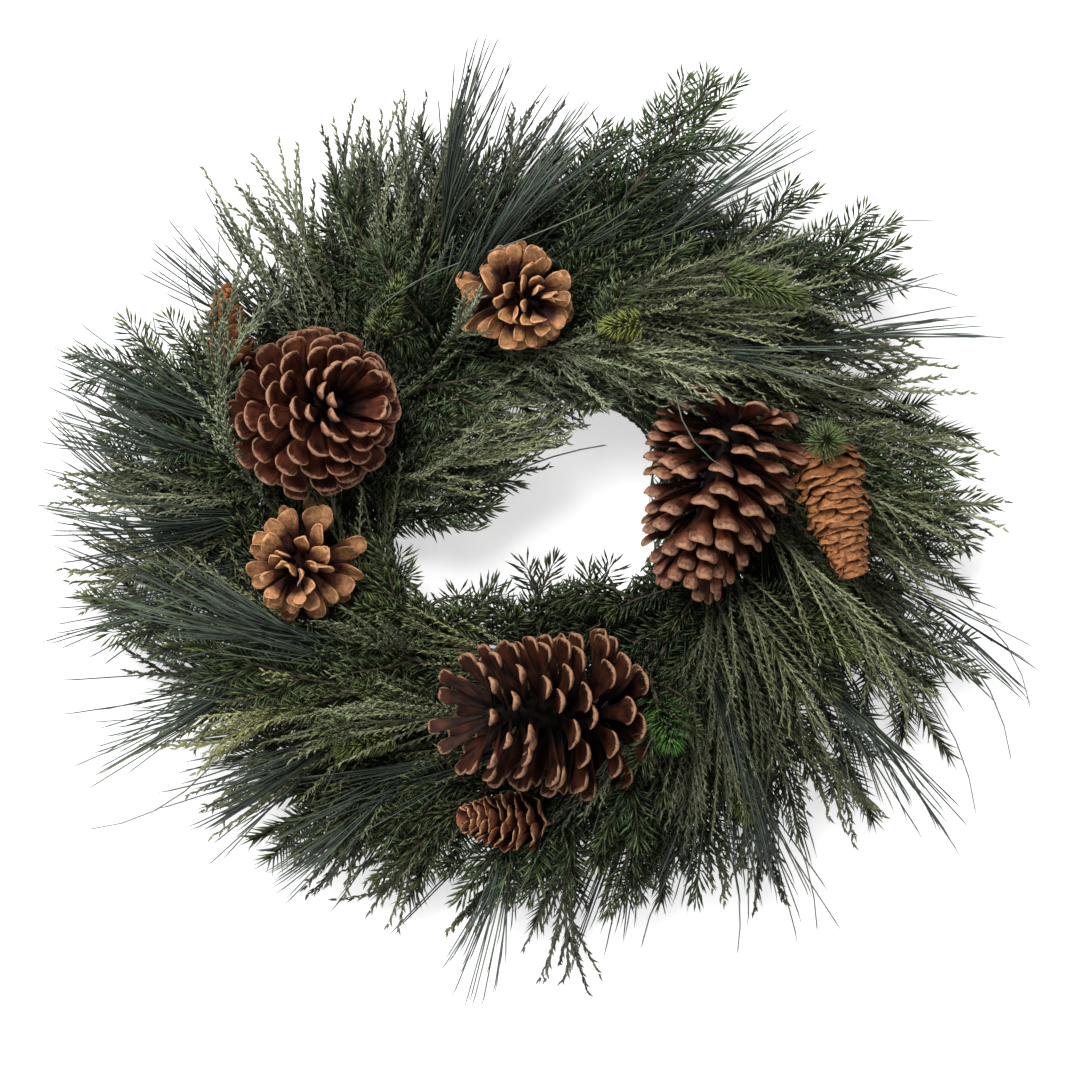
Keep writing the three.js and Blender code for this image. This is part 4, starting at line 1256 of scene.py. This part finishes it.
def cone_finish(name, dark, shaft, lip, rim, lip_from=0.82, both_faces=False):
    """A material for cone scales. lip_from is where along a scale its paler part begins."""
    made, tree, shader = new_material(name)
    values = {"Dark": (*dark, 1), "Light": (*shaft, 1), "Along": 3.0, "Across": 9.0}
    grain = add(tree, "ShaderNodeGroup", values, node_tree=grain_tree)
    weather = speckle(tree, WEATHER, 4.0)
    shift = maths(tree, "MULTIPLY", maths(tree, "SUBTRACT", weather, 0.5), 0.14)
    along = maths(tree, "ADD", mark(tree, "along"), shift)
    lip_part = step_up(tree, along, lip_from, lip_from + (0.3 if both_faces else 0.08))
    if not both_faces:
        outer_face = step_up(tree, mark(tree, "under"), -0.1, 0.4)
        lip_part = maths(tree, "MULTIPLY", lip_part, outer_face)
    # the rim: the sides and the end of a lip are painted palest, partly weathering and partly a painted
    # highlight
    near_side = step_up(tree, mark(tree, "across"), 0.80, 0.98)
    side_edge_and_highlight = maths(tree, "MULTIPLY", near_side, step_up(tree, along, 0.76, 0.88))
    edge = maths(tree, "MAXIMUM", side_edge_and_highlight, step_up(tree, along, 0.93, 0.99))
    # painted shade: each scale is painted darker towards its root, deep in the cone
    root_shade = step_up(tree, mark(tree, "along"), 0.1, 0.7)
    colour = mixed(tree, root_shade, faded(dark, ROOT_SHADE), grain.outputs["Color"])
    streaks = maths(tree, "ADD", weather, grain.outputs["Height"])
    worn = mixed(tree, step_up(tree, streaks, *FLECK), faded(lip, WORN_SHADE), (*lip, 1))
    own = maths(tree, "MULTIPLY", step_up(tree, mark(tree, "tone"), 0.0, 0.5), 0.4)
    lip_part = maths(tree, "MULTIPLY", lip_part, maths(tree, "ADD", own, 0.6))
    colour = mixed(tree, lip_part, colour, worn)
    colour = mixed(tree, maths(tree, "MULTIPLY", edge, EDGE_HIGHLIGHT_SHOWS), colour, (*rim, 1))
    tree.links.new(colour, shader.inputs["Base Color"])
    bump = add(tree, "ShaderNodeBump", {"Height": streaks, "Strength": 0.8, "Distance": 0.0006})
    tree.links.new(bump.outputs[0], shader.inputs["Normal"])
    shader.inputs["Roughness"].default_value = CONE_ROUGHNESS
    shader.inputs["Specular IOR Level"].default_value = CONE_GLOSS
    return made


# the rim colour is partly a pale weathered edge and partly a painted highlight
CONE_COLOURS = {  # dark wood, shaft, lip and rim, then where the lip begins and if on both faces
    "umber": ((0.012, 0.003, 0.002), (0.088, 0.024, 0.011), (0.180, 0.080, 0.045), (0.310, 0.166, 0.100)),
    "dusk": ((0.006, 0.002, 0.001), (0.046, 0.013, 0.006), (0.170, 0.078, 0.042), (0.330, 0.175, 0.100)),
    "russet": (
        (0.020, 0.006, 0.003), (0.160, 0.052, 0.024), (0.260, 0.110, 0.052), (0.480, 0.260, 0.140), 0.66, True
    ),
    "tan": (
        (0.016, 0.004, 0.003), (0.100, 0.030, 0.016), (0.400, 0.190, 0.082), (0.480, 0.250, 0.120), 0.50, True
    ),
    "honey": (
        (0.036, 0.011, 0.004), (0.170, 0.060, 0.022), (0.290, 0.112, 0.040), (0.380, 0.180, 0.078), 0.55, True
    ),
}
CONE_FINISHES = {shade: cone_finish(f"{shade} cone", *row) for shade, row in CONE_COLOURS.items()}
print("cone finishes:", ", ".join(CONE_FINISHES))

# %% [markdown]
# ## The forms of a cone scale
# A pine scale leaves the core narrow, widens along its shaft, then swells into a deep lip and
# closes in a blunt tip. The scale of a small open cone is shorter in the lip, cupped and warped,
# because it dried in the open. A spruce scale is thin as paper and ends in a soft wave. The
# profile gives share of length, of width and of thickness.

# %% Describe the scales
ScaleForm = namedtuple("ScaleForm", "profile half_width half_thick arch cup keel wave twist")
SCALES = {
    "pine": ScaleForm(
        [
            (0.0, 0.30, 0.42), (0.3, 0.42, 0.45), (0.55, 0.60, 0.52), (0.70, 0.80, 0.72), (0.80, 0.97, 1.0),
            (0.88, 1.0, 1.0), (0.94, 0.90, 0.80), (0.98, 0.62, 0.48),
        ],
        half_width=0.172, half_thick=0.045, arch=0.12, cup=0.36, keel=1.3, wave=0.02, twist=0.06,
    ),
    "open": ScaleForm(
        [
            (0.0, 0.24, 0.60), (0.25, 0.36, 0.60), (0.45, 0.60, 0.62), (0.62, 0.88, 0.70), (0.75, 1.0, 0.85),
            (0.86, 0.96, 0.85), (0.94, 0.76, 0.70), (0.98, 0.46, 0.45),
        ],
        half_width=0.174, half_thick=0.050, arch=-0.04, cup=0.42, keel=1.1, wave=0.18, twist=0.70,
    ),
    "spruce": ScaleForm(
        [
            (0.0, 0.35, 1.0), (0.3, 0.66, 0.9), (0.55, 0.94, 0.75), (0.72, 1.0, 0.6), (0.85, 0.88, 0.5),
            (0.93, 0.66, 0.42), (0.98, 0.36, 0.32),
        ],
        half_width=0.47, half_thick=0.045, arch=-0.06, cup=0.34, keel=1.0, wave=0.12, twist=0.15,
    ),
}
SCALE_SIDES = 10
KEEL_FROM = 0.6  # share of a scale from where its underside is thick
print("scale forms:", ", ".join(SCALES))

# %% [markdown]
# ## Cone scales
# A scale is lofted from rings of corners, one for each row of its profile, and closed at both
# ends. Its underside is the thick one, its upper side is flatter, and it is cupped, arched, waved
# and twisted more and more towards its tip.

# %% Loft one scale
def one_scale(form, radius, reach, narrow, tone, draw):
    """A scale on its own: root at the origin, growing along y, its upper face towards z."""
    corner = np.arange(SCALE_SIDES) * 2 * np.pi / SCALE_SIDES
    along, wide, thick = (column[:, None] for column in np.array(form.profile).T)
    half = radius * form.half_width * narrow
    x = half * wide * np.cos(corner)
    z = radius * form.half_thick * thick * np.sin(corner)
    z = np.where(z < 0, z * np.where(along > KEEL_FROM, form.keel, 1.0), z * 0.7)
    cupped = form.cup * half * wide * np.cos(corner) ** 2 * along
    lift = form.arch * reach * along**2
    ripple = form.wave * half * np.sin(3 * np.cos(corner) + tone * 6) * along**3
    twist = draw.normal(0, form.twist) * along**2
    body = np.stack([x, reach * along + 0 * x, z + cupped + lift + ripple + twist * x], -1).reshape(-1, 3)
    tip = np.array([(0, reach, form.arch * reach)])
    corners = np.concatenate([np.zeros((1, 3)), body, tip])
    rows, count = len(form.profile), len(corners)
    faces = loft(rows, SCALE_SIDES)[:, ::-1]  # the rings here run the other way round
    return {
        "corners": corners,
        "faces": faces,
        "paint": np.zeros(len(faces)),
        "along": np.concatenate([[0], np.repeat(along[:, 0], SCALE_SIDES), [1]]),
        "across": np.concatenate([[0], np.tile(np.abs(np.cos(corner)), rows), [0]]),
        "under": np.concatenate([[0], np.tile(-np.sin(corner), rows), [0]]),
        "age": np.zeros(count),
        "tone": np.full(count, tone),
    }


# %% [markdown]
# ## The forms of a cone
# Scales leave the core on a spiral that turns by the golden angle, 137.5 degrees, from one to
# the next. Their tilt changes along the cone: the lowest bend back, the middle ones stand out,
# and the last close over the tip. A crown that is still open has its last scales spread, and the
# scales of a spruce cone all lie close. The body is that of the CAD cone, with more and narrower
# scales on it.

# %% Describe the cones
ConeForm = namedtuple("ConeForm", "scale core root_depth reach tilt span taper narrowing unruly")
FORMS = {
    "pine": ConeForm("pine", 0.25, 0.84, 0.80, (-64, -14, 16, 64), (0.08, 0.70), 0.85, 0.50, 4),
    "crown": ConeForm("pine", 0.25, 0.84, 0.84, (-64, -16, 8, 30), (0.08, 0.72), 0.90, 0.50, 5),
    "open": ConeForm("open", 0.26, 0.80, 0.86, (-50, -14, 26, 66), (0.10, 0.72), 0.62, 0.35, 11),
    "spruce": ConeForm("spruce", 0.60, 0.62, 0.74, (30, 50, 58, 80), (0.02, 0.82), 0.60, 0.30, 4),
    "stout": ConeForm("spruce", 0.60, 0.70, 0.92, (20, 42, 50, 74), (0.04, 0.80), 0.60, 0.30, 4),
}
GOLDEN_ANGLE = 137.5
TILT_AT = (0.0, 0.10, 0.5, 1.0)  # shares of the cone at which a form gives its tilts
LENGTH_AT, FOOT_LENGTHS = (0.0, 0.06, 0.14, 0.5, 1.0), (0.50, 0.72, 1.0, 1.0)  # the lowest scales are short
ROOTS_AT = (0.08, 1)  # the lowest scales all start where the core begins
HEART = ((0.02, 0.7), (0.2, 1.0), (0.6, 0.85), (0.9, 0.4))
HEART_SIDES = 12
print("cone forms:", ", ".join(FORMS))

# %% [markdown]
# ## Whole cones
# The scales are set one after the other on a core that stands upright, and the cone is then
# turned to point where its own CAD cone points and moved to the middle of that cone's box.

# %% Set the scales on their cones
def scale_on_core(plan, form, i, draw):
    """Scale number i, grown out of the core of an upright cone."""
    share = (i + 0.5) / plan.scales
    around = np.radians(i * GOLDEN_ANGLE + draw.normal(0, form.unruly))
    tilt = np.radians(np.interp(share, TILT_AT, form.tilt) + draw.normal(0, form.unruly))
    shrink = np.interp(share, LENGTH_AT, (*FOOT_LENGTHS, form.taper))
    reach = plan.radius * form.reach * shrink * draw.uniform(0.93, 1.03)
    narrow = (1 - form.narrowing * max(0, share * 2 - 1)) * draw.uniform(0.9, 1.08)
    lot = one_scale(SCALES[form.scale], plan.radius, reach, narrow, draw.uniform(), draw)
    outward = np.array((np.cos(around), np.sin(around), 0))
    grow = outward * np.cos(tilt) + UP * np.sin(tilt)
    across = np.array((np.sin(around), -np.cos(around), 0))
    basis = np.stack([across, grow, np.cross(across, grow)])
    root = outward * (plan.radius * form.core) * form.root_depth * (1 - 0.5 * share)
    height = plan.length * np.interp(share, ROOTS_AT, form.span)
    lot["corners"] = lot["corners"] @ basis + root + UP * height
    return lot


def heart_of(plan, form):
    """The woody core that the scales grow on, painted all over in the dark root colour as painted shade."""
    foot, top = plan.length * form.span[0], plan.length * (form.span[1] + 0.04)
    start, run = np.array([[0, 0, foot]]), np.array([[0, 0, top - foot]])
    heart = Shoots(start, run, np.zeros((1, 3)), np.zeros(1), np.array([0.5]))
    lot = solids(heart, 2 * plan.radius * form.core, HEART, sides=HEART_SIDES)
    lot["along"] *= 0
    lot["under"] = lot["along"]
    return lot


def whole_cone(name, plan):
    """The solids of one cone in its place."""
    form = FORMS[plan.kind]
    draw = np.random.default_rng(sum(map(ord, name)))
    lots = [scale_on_core(plan, form, i, draw) for i in range(plan.scales)]
    lot = fused([*lots, heart_of(plan, form)])
    turn = Vector((0, 0, 1)).rotation_difference(Vector(plan.tip)).to_matrix()
    local = lot["corners"] - UP * plan.length / 2
    placed = local @ np.array(turn).T * MM
    low, high = (np.array(corner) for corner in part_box(name))
    shift = (low + high) / 2 - (placed.min(0) + placed.max(0)) / 2
    lot["corners"] = placed + shift
    return lot


for name, plan in CONES.items():
    lot = whole_cone(name, plan)
    make_piece(f"scaled_{name}", lot, (CONE_FINISHES[plan.shade],), (name,))
    print(name, triangles[f"scaled_{name}"], "triangles")

# %% [markdown]
# ## The surface it lies on
# A plain pale sheet on a light table, matt, so that it takes only a soft shadow. The glow from
# below keeps the ground pale in the hole and between the outer tips.

# %% Lay the floor
FLOOR_REACH = 3.0
FLOOR_GLOW = 0.56
PAPER_GREYS = ((0.50, 0.50, 0.50, 1), (0.54, 0.54, 0.54, 1))

corners = [(-FLOOR_REACH, -FLOOR_REACH, 0), (FLOOR_REACH, -FLOOR_REACH, 0)]
corners += [(FLOOR_REACH, FLOOR_REACH, 0), (-FLOOR_REACH, FLOOR_REACH, 0)]
floor_mesh = bpy.data.meshes.new("floor")
floor_mesh.from_pydata(corners, [], [(0, 1, 2, 3)])
paper, paper_tree, paper_shader = new_material("white paper")
shade = mixed(paper_tree, speckle(paper_tree, 2.0), *PAPER_GREYS)
paper_tree.links.new(shade, paper_shader.inputs["Base Color"])
paper_shader.inputs["Roughness"].default_value = 0.9
paper_shader.inputs["Emission Color"].default_value = (1, 1, 1, 1)
paper_shader.inputs["Emission Strength"].default_value = FLOOR_GLOW
floor_mesh.materials.append(paper)
floor = bpy.data.objects.new("floor", floor_mesh)
bpy.context.scene.collection.objects.link(floor)
print("floor", 2 * FLOOR_REACH, "m wide, glow", FLOOR_GLOW)

# %% [markdown]
# ## Count the pieces
# The fine pieces reach past the CAD model by no more than a few needle tips. The last cell counts the pieces
# and their triangles.

# %% Count the pieces and triangles
print("pieces", len(triangles), "triangles", sum(triangles.values()), "largest", max(triangles.values()))
